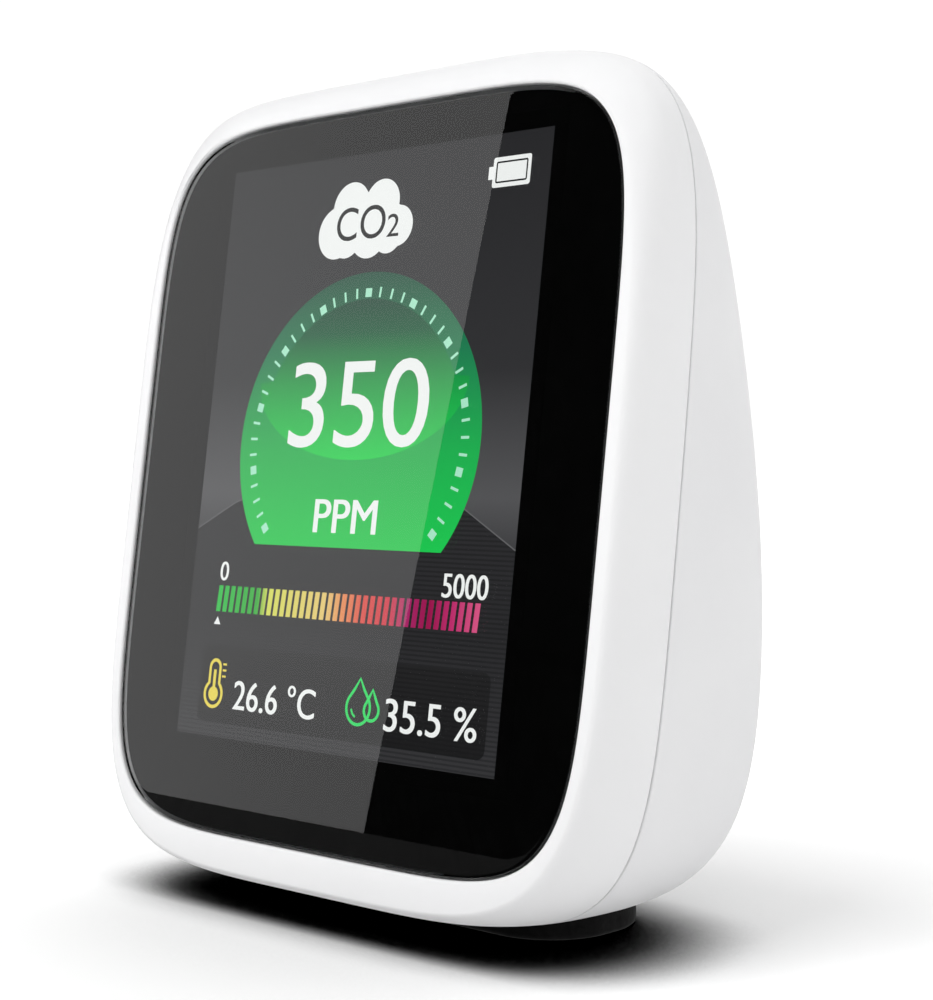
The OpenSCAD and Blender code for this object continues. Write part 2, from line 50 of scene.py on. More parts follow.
# The casing: its front and its depth, how the depth falls with height, how square its outline
# is in front and behind, how its back's edge turns, and the rounded rim round the glass.
BODY_W, BODY_H, BODY_D = 68.6, 79.3, 28.1
BODY_TAPER, BODY_CURVE, BODY_DROP = 14.7, 8.3, 3.5
FRONT_SQUARE, BACK_SQUARE = 4.8, 8.0
BACK_TURN, LOW_TURN, BACK_ROUND = 8.0, 2.5, 1.8
RIM_W, RIM_SHARE = 1.9, 0.27
# Its wall, and the lap where the two shells meet.
WALL, SPLIT_D, SPLIT_SHARE = 2.0, 7.6, 0.62
SKIN_BACK = 1.2
LIP_SKIN, LIP_SHARE, SEAM_SHARE, FIT_GAP = 1.1, 0.04, 0.005, 0.15
# The glass and what lies behind it.
GLASS_W, GLASS_H, GLASS_SQUARE, GLASS_DROP = 62.0, 71.0, 6.1, 2.5
GLASS_SUNK, GLASS_T = 0.15, 1.1
PLATE_N, INSIDE_N = 1.55, 2.75
SCREEN_W, SCREEN_H = 43.2, 57.6
WINDOW_EDGE = 1.4
# Screws, posts and the places of the socket, the button and the vents on the back.
SCREW_X, SCREW_TOP, SCREW_LOW = 27.6, 26.8, -32.5
SPLIT_TOP_N, SPLIT_LOW_N = 5.6, 7.8
SEAT_TOP_N, SEAT_LOW_N = 7.0, 10.8
BOSS_R, SEAT_R, RECESS_R, BORE_R, PASS_R = 2.2, 3.2, 2.0, 1.0, 1.15
BOARD_SCREW_X, BOARD_SCREW_S, BOARD_POST_R, MAIN_N = 27.4, (-8.0, 19.0), 2.0, 6.4
PORT_Z, PORT_W, PORT_H, PORT_L, MOUTH_GAP = -22.4, 8.94, 3.26, 7.3, 0.7
BUTTON_X, BUTTON_R, SLIDE_GAP, SLEEVE_T, RESET_R = 13.5, 3.2, 0.2, 2.1, 0.6
FLANGE_R, FLANGE_Y, FLANGE_T, STEM_R, STEM_Y = 4.0, 2.8, 0.8, 1.2, 5.4
VENT_COUNT, VENT_L, VENT_W, VENT_PITCH, VENT_SHARES = 7, 26.0, 1.6, 3.1, (0.985, 0.85)
SIDES, SHARP = 360, math.radians(40)
# The four casing screws: place and the depth of their seats.
SCREWS = [(side * SCREW_X, s, seat) for side in (-1, 1)
          for s, seat in ((SCREW_TOP, SEAT_TOP_N), (SCREW_LOW, SEAT_LOW_N))]

# The display's middle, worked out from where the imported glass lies.
glass_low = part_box("cover_glass")[0]
GLASS_FOOT = -GLASS_H / 2 - GLASS_DROP
FACE_Y = glass_low.y / MM - GLASS_SUNK * math.cos(LEAN) - GLASS_FOOT * math.sin(LEAN)
FACE_Z = glass_low.z / MM - GLASS_FOOT * math.cos(LEAN) + (GLASS_SUNK + GLASS_T) * math.sin(LEAN)


# ---- the casing's surface

def reach(angle, square):
    """Distance from the middle to a unit squared ellipse, in a direction."""
    return (abs(np.cos(angle)) ** square + abs(np.sin(angle)) ** square) ** (-1 / square)


def rise(s):
    """Height on the casing as a share of half its height, from its middle."""
    return (s + BODY_DROP) / (BODY_H / 2)


def depth_at(s):
    """Depth of the casing from its sloping front to its back, by height."""
    return BODY_D - BODY_TAPER * rise(s) - BODY_CURVE * rise(s) ** 2


def rim_in(t):
    """How far the rounded rim stands in from the full width."""
    u = np.clip(t / RIM_SHARE, 0, 1)
    return RIM_W * (1 - np.sqrt(1 - (1 - u) ** 2))


def turning(up):
    """How tightly the back's edge turns, by height: less tightly low down."""
    return BACK_TURN - LOW_TURN * np.maximum(0, -up) ** 2


def casing(angle, t, skin=0.0, inset=0.0):
    """Points of the casing at directions and shares of the depth, in the leaning frame."""
    r = reach(angle, FRONT_SQUARE + (BACK_SQUARE - FRONT_SQUARE) * t)
    up = r * np.sin(angle)
    shrink = np.maximum(0, 1 - t ** turning(up)) ** (1 / BACK_ROUND)
    x = ((BODY_W / 2 - skin) * shrink - inset) * r * np.cos(angle)
    s = ((BODY_H / 2 - skin) * shrink - inset) * up - BODY_DROP
    d = t * depth_at(s) - skin * SKIN_BACK * t ** 3
    return np.stack([x, d * math.cos(LEAN), s + d * math.sin(LEAN)], -1)


def crest(t, skin=0.0):
    """The casing's point straight up from its middle, at a share of the depth."""
    return casing(np.array([math.pi / 2]), np.array([t]), skin)[0]


def back_y(x, z):
    """Depth of the casing's back in the level frame, at places on it."""
    s = z / math.cos(LEAN)
    r = (abs(x / (BODY_W / 2)) ** BACK_SQUARE + abs(rise(s)) ** BACK_SQUARE) ** (1 / BACK_SQUARE)
    t = np.maximum(0, 1 - r ** BACK_ROUND) ** (1 / turning(rise(s)))
    return t * depth_at(s) + s * math.sin(LEAN)


def leaning(points):
    """Leaning frame to the part's own frame, still in millimetres."""
    p = np.asarray(points, float)
    x, n, s = p[..., 0], p[..., 1], p[..., 2]
    y = FACE_Y + n * math.cos(LEAN) + s * math.sin(LEAN)
    z = FACE_Z + s * math.cos(LEAN) - n * math.sin(LEAN)
    return np.stack([x, y, z], -1)


def level(points):
    """Level frame to the part's own frame, still in millimetres."""
    return np.asarray(points, float) + np.array([0, FACE_Y, FACE_Z])


# ---- meshes

def add_object(name, data):
    obj = bpy.data.objects.new(name, data)
    bpy.context.scene.collection.objects.link(obj)
    return obj


def new_mesh(name, points, faces, finish=None):
    """A smooth-shaded mesh object from points in millimetres."""
    mesh = bpy.data.meshes.new(name)
    mesh.from_pydata((np.asarray(points) * MM).tolist(), [], faces)
    mesh.validate()
    obj = add_object(name, mesh)
    shade(obj)
    if finish:
        mesh.materials.append(finish)
    return obj


def shade(obj):
    """Smooth shading that leaves clear edges sharp."""
    obj.data.shade_smooth()
    obj.data.set_sharp_from_angle(angle=SHARP)


def loft(rings, ends="fans", tips=None):
    """Points and faces of a loft through rings. Ends are closed by fans, or joined in a loop."""
    count, sides = len(rings), len(rings[0])
    points = np.concatenate(rings)
    index = np.arange(count * sides).reshape(count, sides)
    turned = np.roll(index, -1, axis=1)
    faces = []
    for k in range(count if ends == "loop" else count - 1):
        k2 = (k + 1) % count
        quads = np.stack([index[k], turned[k], turned[k2], index[k2]], 1)
        faces += quads.tolist()
    if ends == "fans":
        first, last = (rings[0].mean(0), rings[-1].mean(0)) if tips is None else tips
        points = np.concatenate([points, [first, last]])
        n = count * sides
        faces += [[int(b), int(a), n] for a, b in zip(index[0], turned[0])]
        faces += [[int(a), int(b), n + 1] for a, b in zip(index[-1], turned[-1])]
    return points, faces


def facing_out(points, faces):
    """The same faces, turned round if they enclose a negative volume."""
    p = np.asarray(points)
    volume = 0.0
    for f in faces:
        for k in range(1, len(f) - 1):
            volume += np.dot(p[f[0]], np.cross(p[f[k]], p[f[k + 1]]))
    return faces if volume > 0 else [f[::-1] for f in faces]


def solid(name, rings, place, finish=None, ends="fans", tips=None):
    """A closed loft, placed in the part's frame by one of the two placing functions."""
    points, faces = loft(rings, ends, tips)
    points = place(points)
    return new_mesh(name, points, facing_out(points, faces), finish)


def worked_out(obj):
    """An object's mesh with its modifiers applied, or its lettering turned to faces."""
    bpy.context.view_layer.update()
    graph = bpy.context.evaluated_depsgraph_get()
    return bpy.data.meshes.new_from_object(obj.evaluated_get(graph), depsgraph=graph)


def combine(obj, tool, operation):
    """Cuts or joins one closed mesh with another, and removes the tool."""
    step = obj.modifiers.new("combine", "BOOLEAN")
    step.operation = operation
    step.solver = "MANIFOLD"
    step.object = tool
    mesh = worked_out(obj)
    obj.modifiers.clear()
    obj.data = mesh
    mesh.name = obj.name
    bpy.data.objects.remove(tool)


def joined(name, objects):
    """One object from several separate ones."""
    points, faces, start = [], [], 0
    for obj in objects:
        mesh = obj.data
        points += [tuple(v.co / MM) for v in mesh.vertices]
        faces += [[i + start for i in p.vertices] for p in mesh.polygons]
        start += len(mesh.vertices)
        finish = mesh.materials[0] if mesh.materials else None
        bpy.data.objects.remove(obj)
    return new_mesh(name, points, faces, finish)


def directions(count):
    """Evenly spaced angles round a full turn."""
    return np.linspace(0, 2 * math.pi, count, endpoint=False)


def circle(r, sides):
    a = directions(sides)
    return np.stack([r * np.cos(a), r * np.sin(a)], -1)


def stadium(length, width, sides=96):
    """Outline with round ends, as points round it."""
    a = directions(sides)
    side = np.where(np.cos(a) >= 0, 1, -1) * (length - width) / 2
    return np.stack([side + width / 2 * np.cos(a), width / 2 * np.sin(a)], -1)


def rounded(w, h, r, steps=8):
    """Rectangle with round corners, as points round it."""
    points = []
    for k, (sx, sy) in enumerate([(1, 1), (-1, 1), (-1, -1), (1, -1)]):
        for j in range(steps + 1):
            a = math.pi / 2 * (k + j / steps)
            points.append((sx * (w / 2 - r) + r * math.cos(a), sy * (h / 2 - r) + r * math.sin(a)))
    return np.array(points)


def rectangle(x0, x1, s0, s1):
    return [(x0, s0), (x1, s0), (x1, s1), (x0, s1)]


def moved(outline, x, z):
    return outline + np.array([x, z])


def at_depth(outline, depth):
    """Points of an outline stood up at a depth."""
    return np.stack([outline[:, 0], np.full(len(outline), depth), outline[:, 1]], -1)


def lathe(name, profile, x, z, place, finish=None, sides=96):
    """A turned solid about a line along Y. The profile lists radius and depth."""
    rings = [at_depth(moved(circle(max(r, 0.001), sides), x, z), y) for r, y in profile]
    return solid(name, rings, place, finish)


def rod(name, x, z, r, y0, y1, place, sides=64):
    """A straight round cutter along Y, between two depths."""
    return lathe(name, [(r, y0), (r, y1)], x, z, place, sides=sides)


def grown(outline, amount):
    """A convex outline moved outwards by an amount."""
    ahead, behind = np.roll(outline, -1, 0), np.roll(outline, 1, 0)
    along = ahead - behind
    out = np.stack([along[:, 1], -along[:, 0]], -1)
    out /= np.linalg.norm(out, axis=1)[:, None]
    return outline + amount * out


# ---- materials

def linear(r, g, b):
    """A colour given in everyday 0 to 255 numbers, as linear light."""
    def one(v):
        v /= 255
        return v / 12.92 if v <= 0.04045 else ((v + 0.055) / 1.055) ** 2.4
    return (one(r), one(g), one(b), 1.0)


class Nodes:
    """Short calls for making a material's nodes."""

    def __init__(self, name):
        self.material = bpy.data.materials.new(name)
        self.material.use_nodes = True
        self.tree = self.material.node_tree
        self.shader = self.tree.nodes["Principled BSDF"]
        self.place = self.add("ShaderNodeTexCoord").outputs["Object"]

    def add(self, kind, inputs=None, **settings):
        node = self.tree.nodes.new(kind)
        for key, value in settings.items():
            setattr(node, key, value)
        for key, value in (inputs or {}).items():
            if isinstance(value, bpy.types.NodeSocket):
                self.tree.links.new(value, node.inputs[key])
            else:
                node.inputs[key].default_value = value
        return node

    def noise(self, scale, detail=3.0, rough=0.5, where=None):
        inputs = {"Vector": where or self.place, "Scale": scale, "Detail": detail, "Roughness": rough}
        return self.add("ShaderNodeTexNoise", inputs).outputs["Fac"]

    def spread(self, value, low, high, from_low=0.3, from_high=0.7):
        inputs = {"Value": value, "From Min": from_low, "From Max": from_high,
                  "To Min": low, "To Max": high}
        return self.add("ShaderNodeMapRange", inputs).outputs["Result"]

    def mix(self, share, a, b):
        return self.add("ShaderNodeMix", {0: share, 6: a, 7: b}, data_type="RGBA").outputs[2]

    def parts(self):
        """The place's three coordinates."""
        return self.add("ShaderNodeSeparateXYZ", {"Vector": self.place}).outputs

    def math(self, operation, *values):
        return self.add("ShaderNodeMath", dict(enumerate(values)), operation=operation).outputs[0]

    def wave(self, along, pitch):
        """A sine along a coordinate, of a pitch in millimetres."""
        return self.math("SINE", self.math("MULTIPLY", along, 2 * math.pi / (pitch * MM)))

    def cells(self, scale, distance, feature):
        inputs = {"Vector": self.place, "Scale": scale}
        node = self.add("ShaderNodeTexVoronoi", inputs, distance=distance, feature=feature)
        return node.outputs["Distance"]

    def stretched(self, x, y, z):
        """The place, scaled differently along each axis."""
        return self.add("ShaderNodeMapping", {"Vector": self.place, "Scale": (x, y, z)}).outputs[0]

    def link(self, output, socket):
        self.tree.links.new(output, self.shader.inputs[socket])

    def tint(self, value, tone, other, *span):
        """Base colour that goes from one tone to another with a value."""
        self.link(self.mix(self.spread(value, 0.0, 1.0, *span), tone, other), "Base Color")

    def dull(self, value, *span):
        self.link(self.spread(value, *span), "Roughness")

    def bump(self, height, strength, distance):
        inputs = {"Height": height, "Strength": strength, "Distance": distance}
        self.link(self.add("ShaderNodeBump", inputs).outputs[0], "Normal")

    def set(self, **values):
        for key, value in values.items():
            self.shader.inputs[key.replace("_", " ")].default_value = value


def plastic(name, tone, shade_tone, rough, grain=900.0, strength=0.15):
    """Moulded plastic: faint clouding of colour and gloss over a fine spark-eroded grain."""
    n = Nodes(name)
    cloud = n.noise(60.0, 4.0, 0.55)
    n.tint(cloud, tone, shade_tone)
    n.dull(n.noise(grain * 0.3, 3.0), rough - 0.03, rough + 0.05)
    n.bump(n.noise(grain, 4.0, 0.6), strength, 0.00004)
    return n.material


def metal(name, tone, rough, along=(1.0, 1.0, 30.0)):
    """Drawn or rolled metal: fine lines one way, with duller patches."""
    n = Nodes(name)
    lines = n.noise(900.0, 3.0, 0.7, n.stretched(*along))
    dull = n.noise(250.0, 3.0)
    darker = tuple(c * 0.72 for c in tone[:3]) + (1.0,)
    n.tint(dull, tone, darker)
    n.dull(lines, rough, rough + 0.16)
    n.bump(lines, 0.12, 0.00003)
    n.set(Metallic=1.0)
    return n.material


def rubber(name):
    """Dull black rubber with an open grain."""
    n = Nodes(name)
    grain = n.noise(1400.0, 5.0, 0.65)
    n.tint(n.noise(120.0), linear(4, 4, 4), linear(9, 9, 9))
    n.dull(grain, 0.75, 0.92)
    n.bump(grain, 0.5, 0.00008)
    n.set(Specular_IOR_Level=0.15)
    return n.material


def board(name, mask, track, scale=260.0):
    """Circuit board: lacquer over square-cornered tracks."""
    n = Nodes(name)
    cells = n.cells(scale, "CHEBYCHEV", "F1")
    tracks = n.math("PINGPONG", cells, n.cells(scale * 1.7, "MANHATTAN", "F2"))
    n.tint(tracks, mask, track, 0.28, 0.34)
    n.dull(n.noise(700.0), 0.22, 0.4)
    n.bump(tracks, 0.35, 0.00005)
    n.set(Coat_Weight=0.4, Coat_Roughness=0.15)
    return n.material


def striped(name, tone, line, pitch):
    """Fine parallel lines across the part, such as a ribbon's wires or a flex's tracks."""
    n = Nodes(name)
    wave = n.wave(n.parts()[0], pitch)
    n.tint(wave, tone, line, 0.1, 0.5)
    n.dull(n.noise(500.0), 0.35, 0.5)
    n.bump(wave, 0.3, 0.00006)
    return n.material


def clear_glass(name):
    """Cover glass: clear, with faint smears that only dull its gloss."""
    n = Nodes(name)
    smear = n.noise(45.0, 5.0, 0.6, n.stretched(1.0, 1.0, 0.45))
    n.tint(smear, (0.97, 0.98, 0.98, 1), (0.95, 0.96, 0.96, 1))
    n.dull(smear, 0.0, 0.03, 0.5, 0.9)
    n.set(Transmission_Weight=1.0, IOR=1.5)
    return n.material


def ink(name, tone, deeper):
    """Screen print behind glass: near black, very slightly uneven."""
    n = Nodes(name)
    n.tint(n.noise(90.0, 4.0), tone, deeper)
    n.dull(n.noise(400.0), 0.7, 0.85)
    n.set(Specular_IOR_Level=0.1)
    return n.material


def gauze(name):
    """Filter mesh of fine black wires."""
    n = Nodes(name)
    x, _, z = n.parts()
    weave = n.math("MAXIMUM", n.wave(x, 0.5), n.wave(z, 0.5))
    gap, wire = linear(10, 10, 11), linear(66, 66, 68)
    n.tint(weave, gap, wire, 0.3, 0.8)
    n.dull(n.noise(600.0), 0.5, 0.7)
    n.bump(weave, 0.8, 0.0001)
    return n.material


def chip_case(name):
    """Speckled dark epoxy."""
    n = Nodes(name)
    speck = n.noise(1600.0, 4.0, 0.7)
    n.tint(speck, linear(24, 24, 26), linear(44, 44, 47))
    n.dull(speck, 0.45, 0.65)
    n.bump(speck, 0.3, 0.00004)
    return n.material


def lit(name, axis, low, high, stops, stripes=0.0):
    """Display light that changes along one axis of the part through stops, each a share and its
    everyday colour, and may carry fine level stripes."""
    n = Nodes(name)
    parts = n.parts()
    share = n.spread(parts[axis], 0.0, 1.0, low * MM, high * MM)
    ramp = n.add("ShaderNodeValToRGB", {"Fac": share})
    elements = ramp.color_ramp.elements
    elements[0].position, elements[1].position = stops[0][0], stops[-1][0]
    elements[0].color, elements[1].color = linear(*stops[0][1:]), linear(*stops[-1][1:])
    for position, *tone in stops[1:-1]:
        elements.new(position).color = linear(*tone)
    light = ramp.outputs[0]
    if stripes:
        wave = n.wave(parts[2], stripes)
        light = n.mix(n.spread(wave, 0.0, 0.45, -0.2, 0.6), light, (0.008, 0.008, 0.009, 1))
    n.link(light, "Emission Color")
    n.set(Base_Color=(0.01, 0.01, 0.01, 1), Roughness=0.9, Specular_IOR_Level=0.0, Emission_Strength=1.0)
    return n.material


def one_light(name, r, g, b):
    """Display light of one tone, for lettering and signs."""
    return lit(name, 2, 0, 100, [(0.0, r, g, b), (1.0, r, g, b)])


SHELL_WHITE = plastic("shell_white", (0.86, 0.86, 0.865, 1), (0.83, 0.83, 0.838, 1), 0.34)
SHELL_BACK = plastic("shell_white_back", (0.82, 0.82, 0.827, 1), (0.79, 0.79, 0.80, 1), 0.38)
BUTTON_WHITE = plastic("button_white", (0.74, 0.745, 0.755, 1), (0.7, 0.705, 0.715, 1), 0.3)
BLACK_PLASTIC = plastic("black_plastic", linear(20, 20, 21), linear(34, 34, 35), 0.42)
IVORY = plastic("connector_ivory", linear(222, 214, 190), linear(206, 196, 170), 0.4)
RUBBER = rubber("base_rubber_black")
STEEL = metal("screw_steel_bright", (0.62, 0.62, 0.63, 1), 0.24)
SOCKET_STEEL = metal("socket_steel_drawn", (0.7, 0.7, 0.71, 1), 0.2, (1.0, 30.0, 1.0))
GOLD = metal("contact_gold", linear(226, 178, 84), 0.22)
SENSOR_GOLD = metal("sensor_case_gold", linear(206, 164, 82), 0.3, (1.0, 30.0, 1.0))
FOIL = metal("battery_foil_silver", (0.66, 0.67, 0.68, 1), 0.35, (20.0, 1.0, 1.0))
BACKLIGHT_STEEL = metal("backlight_frame_steel", (0.55, 0.56, 0.57, 1), 0.3)
BOARD_GREEN = board("board_green", linear(13, 74, 38), linear(36, 112, 60))
SENSOR_BOARD = board("sensor_board_green", linear(16, 92, 60), linear(44, 128, 88), 320.0)
CHIP = chip_case("chip_epoxy")
GLASS = clear_glass("cover_glass_clear")
PRINT = ink("glass_print_black", linear(3, 3, 3), linear(5, 5, 5))
TAPE = ink("black_tape_foam", linear(12, 12, 12), linear(20, 20, 20))
PANEL = ink("panel_black", linear(5, 5, 5), linear(8, 8, 9))
GAUZE = gauze("dust_gauze")
FLEX = striped("flex_polyimide", linear(196, 112, 30), linear(150, 78, 20), 0.8)
RIBBON = striped("ribbon_wires", linear(232, 232, 228), linear(168, 170, 172), 1.0)
RED_WIRE = plastic("lead_sleeve", linear(150, 22, 20), linear(120, 16, 15), 0.45)
FLEECE = plastic("membrane_fleece", linear(238, 238, 234), linear(216, 216, 210), 0.75, 1500.0, 0.6)
WHITE_LIGHT = one_light("light_white", 250, 252, 250)
DARK_LIGHT = one_light("light_dark", 20, 22, 22)
PALE_LIGHT = one_light("light_marks", 176, 240, 208)
LINE_LIGHT = one_light("light_hill_line", 104, 104, 106)
YELLOW_LIGHT = one_light("light_yellow", 240, 220, 86)
GREEN_LIGHT = one_light("light_green", 40, 224, 104)

# Which finish each carried-over node gets.
NODE_FINISHES = {
    TAPE: ("glass_adhesive",), PANEL: ("screen_panel",), BACKLIGHT_STEEL: ("screen_backlight",),
    FLEX: ("screen_flex",), IVORY: ("flex_connector", "ribbon_sockets", "battery_plug"),
    BOARD_GREEN: ("main_board", "port_board"), SENSOR_BOARD: ("gas_sensor_board", "climate_board"),
    STEEL: ("board_screws", "port_board_screws"), CHIP: ("board_chips", "port_chips"),
    SENSOR_GOLD: ("gas_sensor",), FLEECE: ("gas_membrane", "climate_sensor"),
    GOLD: ("gas_sensor_pins",), BLACK_PLASTIC: ("buzzer", "switch_body", "switch_plunger"),
    RIBBON: ("link_ribbon",), FOIL: ("battery_cell",), RED_WIRE: ("battery_lead",),
    GAUZE: ("dust_mesh",),
}


def finish_nodes():
    """Puts the finishes on the nodes that keep their CAD shape."""
    for finish, names in NODE_FINISHES.items():
        for name in names:
            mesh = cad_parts[name].data
            mesh.materials.clear()
            mesh.materials.append(finish)


# ---- shells

ANGLES = directions(SIDES)
# Depth of the casing level with the joint, and the share of it at which the two shells meet.
SPLIT_DEPTH = depth_at(reach(ANGLES, FRONT_SQUARE) * np.sin(ANGLES) * BODY_H / 2 - BODY_DROP)
SPLIT = 1 / np.sqrt((SPLIT_DEPTH / SPLIT_D) ** 2 + (1 / SPLIT_SHARE) ** 2)
# The softened edge at the joint: distance back from it, and how far the edge turns in.
SEAM_EDGE = [(0.16, 0.0), (0.1, 0.008), (0.055, 0.03), (0.025, 0.07), (0.01, 0.14)]


def seam_rows(side):
    """Rings of the softened edge on one side of the joint, from the flank to the gap."""
    rows = []
    for away, inset in SEAM_EDGE:
        gap = SEAM_SHARE * SPLIT_DEPTH if side > 0 else 0
        t = SPLIT + (side * away + gap) / SPLIT_DEPTH
        rows.append(casing(ANGLES, t, 0.0, rim_in(t) + inset))
    return rows


def glass_ring(n, grow=0.0):
    """The glass's outline at a depth."""
    r = reach(ANGLES, GLASS_SQUARE)
    x = (GLASS_W / 2 + grow) * r * np.cos(ANGLES)
    s = (GLASS_H / 2 + grow) * r * np.sin(ANGLES) - GLASS_DROP
    return np.stack([x, np.full(SIDES, n), s], -1)


def wall_ring(n):
    """Ring of the front shell's inner wall at a depth."""
    s = reach(ANGLES, FRONT_SQUARE) * np.sin(ANGLES) * (BODY_H / 2 - WALL) - BODY_DROP
    t = n / math.cos(LEAN) / depth_at(s)
    return casing(ANGLES, t, WALL, rim_in(t))


def front_rows():
    """Rings round the front shell's section: flank, lip, inner wall, window and glass seat."""
    near_joint = SPLIT - SEAM_EDGE[0][0] / SPLIT_DEPTH
    shares = [near_joint * (1 - math.cos(math.pi / 2 * k / 25)) for k in range(25)]
    rows = [casing(ANGLES, t, 0.0, rim_in(t)) for t in shares] + seam_rows(-1)
    tip = SPLIT + LIP_SHARE
    rows += [casing(ANGLES, t, skin) for t, skin in (
        (SPLIT, LIP_SKIN - 0.1), (SPLIT + 0.15 * LIP_SHARE, LIP_SKIN), (tip - 0.006, LIP_SKIN),
        (tip, LIP_SKIN + 0.15), (tip, WALL - 0.1), (tip - 0.004, WALL))]
    window = (SCREEN_W / 2 + WINDOW_EDGE, SCREEN_H / 2 + WINDOW_EDGE)
    rows += [wall_ring(INSIDE_N + 0.1), glass_ring(INSIDE_N, -0.4), window_ring(INSIDE_N, *window),
             window_ring(PLATE_N, *window), glass_ring(PLATE_N, FIT_GAP)]
    seat_edge = [(0.32, 0.0), (0.17, 0.02), (0.08, 0.08), (0.02, 0.18), (0.0, 0.3)]
    return rows + [glass_ring(n, FIT_GAP + grow) for n, grow in seat_edge]


def make_front_shell():
    shell = solid("front_shell_moulding", front_rows(), leaning, SHELL_WHITE, ends="loop")
    for side in (-1, 1):
        posts = [(side * SCREW_X, SCREW_TOP, BOSS_R, SPLIT_TOP_N),
                 (side * SCREW_X, SCREW_LOW, BOSS_R, SPLIT_LOW_N)]
        posts += [(side * BOARD_SCREW_X, s, BOARD_POST_R, MAIN_N) for s in BOARD_SCREW_S]
        for x, s, r, n1 in posts:
            profile = [(r, INSIDE_N - 0.6), (r, n1 - 0.15), (r - 0.15, n1)]
            combine(shell, lathe("post", profile, x, s, leaning, sides=48), "UNION")
            combine(shell, rod("bore", x, s, BORE_R, INSIDE_N + 0.4, n1 + 1, leaning, 32), "DIFFERENCE")
    shade(shell)
    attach(shell, "casing")
    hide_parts("front_shell")


def window_ring(n, half_w, half_h):
    """The plate's window at a depth, its corners kept square."""
    c, s = np.cos(ANGLES), np.sin(ANGLES)
    size = 1 / np.maximum(abs(c) / half_w, abs(s) / half_h)
    ring = np.stack([size * c, np.full(SIDES, n), size * s], -1)
    for sx, sy in ((1, 1), (-1, 1), (-1, -1), (1, -1)):
        corner = np.array([sx * half_w, n, sy * half_h])
        ring[np.argmin(np.linalg.norm(ring - corner, axis=1))] = corner
    return ring


class Face:
    """A flat frame from which openings are cut: an origin, an upward and an outward axis, all in
    the level frame, given as Y and Z."""

    def __init__(self, origin, up, out):
        self.origin, self.up, self.out = (np.array(v, float) for v in (origin, up, out))

    def at(self, a, b, h):
        """Points across, up and out from the face, in the level frame."""
        yz = self.origin + np.multiply.outer(b, self.up) + np.multiply.outer(h, self.out)
        return np.concatenate([np.asarray(a, float)[..., None], yz], -1)

    def surface(self, a, b):
        """Height of the casing's back above this face, found by halving."""
        low, high = np.full(np.shape(b), -8.0), np.full(np.shape(b), 40.0)
        for _ in range(40):
            h = (low + high) / 2
            p = self.at(a, b, h)
            inside = p[..., 1] < back_y(p[..., 0], p[..., 2])
            low, high = np.where(inside, h, low), np.where(inside, high, h)
        return (low + high) / 2

    def opening(self, name, outline, floor, rim=0.3):
        """A cutter with a flared mouth that follows the casing, down to a floor."""
        a, b = outline[:, 0], outline[:, 1]
        rings = [self.at(a, b, np.full(len(a), floor))]
        for grow, lift in [(0.0, -1.0), (0.08, -0.55), (0.3, -0.16), (0.65, -0.02), (1.0, 0.05)]:
            o = grown(outline, grow * rim)
            h = self.surface(o[:, 0], o[:, 1]) + lift * rim
            rings.append(self.at(o[:, 0], o[:, 1], h))
        rings.append(self.at(o[:, 0], o[:, 1], h + 1.5))
        return solid(name, rings, level)


UPRIGHT = Face((0, 0), (0, 1), (1, 0))
TILTED = Face((0, 0), (math.sin(LEAN), math.cos(LEAN)), (math.cos(LEAN), -math.sin(LEAN)))


def vent_face():
    """The face that the vents are cut from, square to the sloping back."""
    low, high = (np.array([p[1] * math.cos(LEAN) + p[2] * math.sin(LEAN),
                           p[2] * math.cos(LEAN) - p[1] * math.sin(LEAN)])
                 for p in (crest(t) for t in VENT_SHARES))
    up = (high - low) / np.linalg.norm(high - low)
    return Face((low + high) / 2, up, (up[1], -up[0]))


VENTS = vent_face()
BEYOND = 45  # a depth that is behind the whole casing
BUTTON_Y = float(back_y(np.array(BUTTON_X), np.array(PORT_Z)))
PORT_Y = float(back_y(np.array(0.0), np.array(PORT_Z))) - 0.5


def rear_rows(skin, start, count=48):
    """Rings from a little behind the joint to the middle of the back."""
    shares = [start + (1 - start) * math.sin(math.pi / 2 * k / count) for k in range(count)]
    return [casing(ANGLES, t, skin, rim_in(t)) for t in shares]


def make_rear_hollow():
    """The room inside the rear shell, less the posts and the button's sleeve."""
    skin = LIP_SKIN - FIT_GAP
    groove = SPLIT + LIP_SHARE + 0.01
    rows = [casing(ANGLES, SPLIT * 0.5, skin, rim_in(SPLIT * 0.5)), casing(ANGLES, groove, skin)]
    rows += rear_rows(WALL, groove + 0.02)
    hollow = solid("hollow", rows, leaning, tips=(np.array([0, 1.0, 0]), crest(1.0, WALL)))
    for side in (-1, 1):
        for s, start, seat in ((SCREW_TOP, SPLIT_TOP_N, SEAT_TOP_N - 0.6),
                               (SCREW_LOW, SPLIT_LOW_N, SEAT_LOW_N - 1.2)):
            profile = [(BOSS_R - 0.15, start), (BOSS_R, start + 0.15), (BOSS_R, seat), (SEAT_R, seat),
                       (SEAT_R, BEYOND)]
            combine(hollow, lathe("post", profile, side * SCREW_X, s, leaning, sides=64), "DIFFERENCE")
    r = BUTTON_R + SLEEVE_T
    sleeve = [(r - 0.2, BUTTON_Y - 4.8), (r, BUTTON_Y - 4.6), (r, BEYOND)]
    combine(hollow, lathe("sleeve", sleeve, BUTTON_X, PORT_Z, level), "DIFFERENCE")
    return hollow


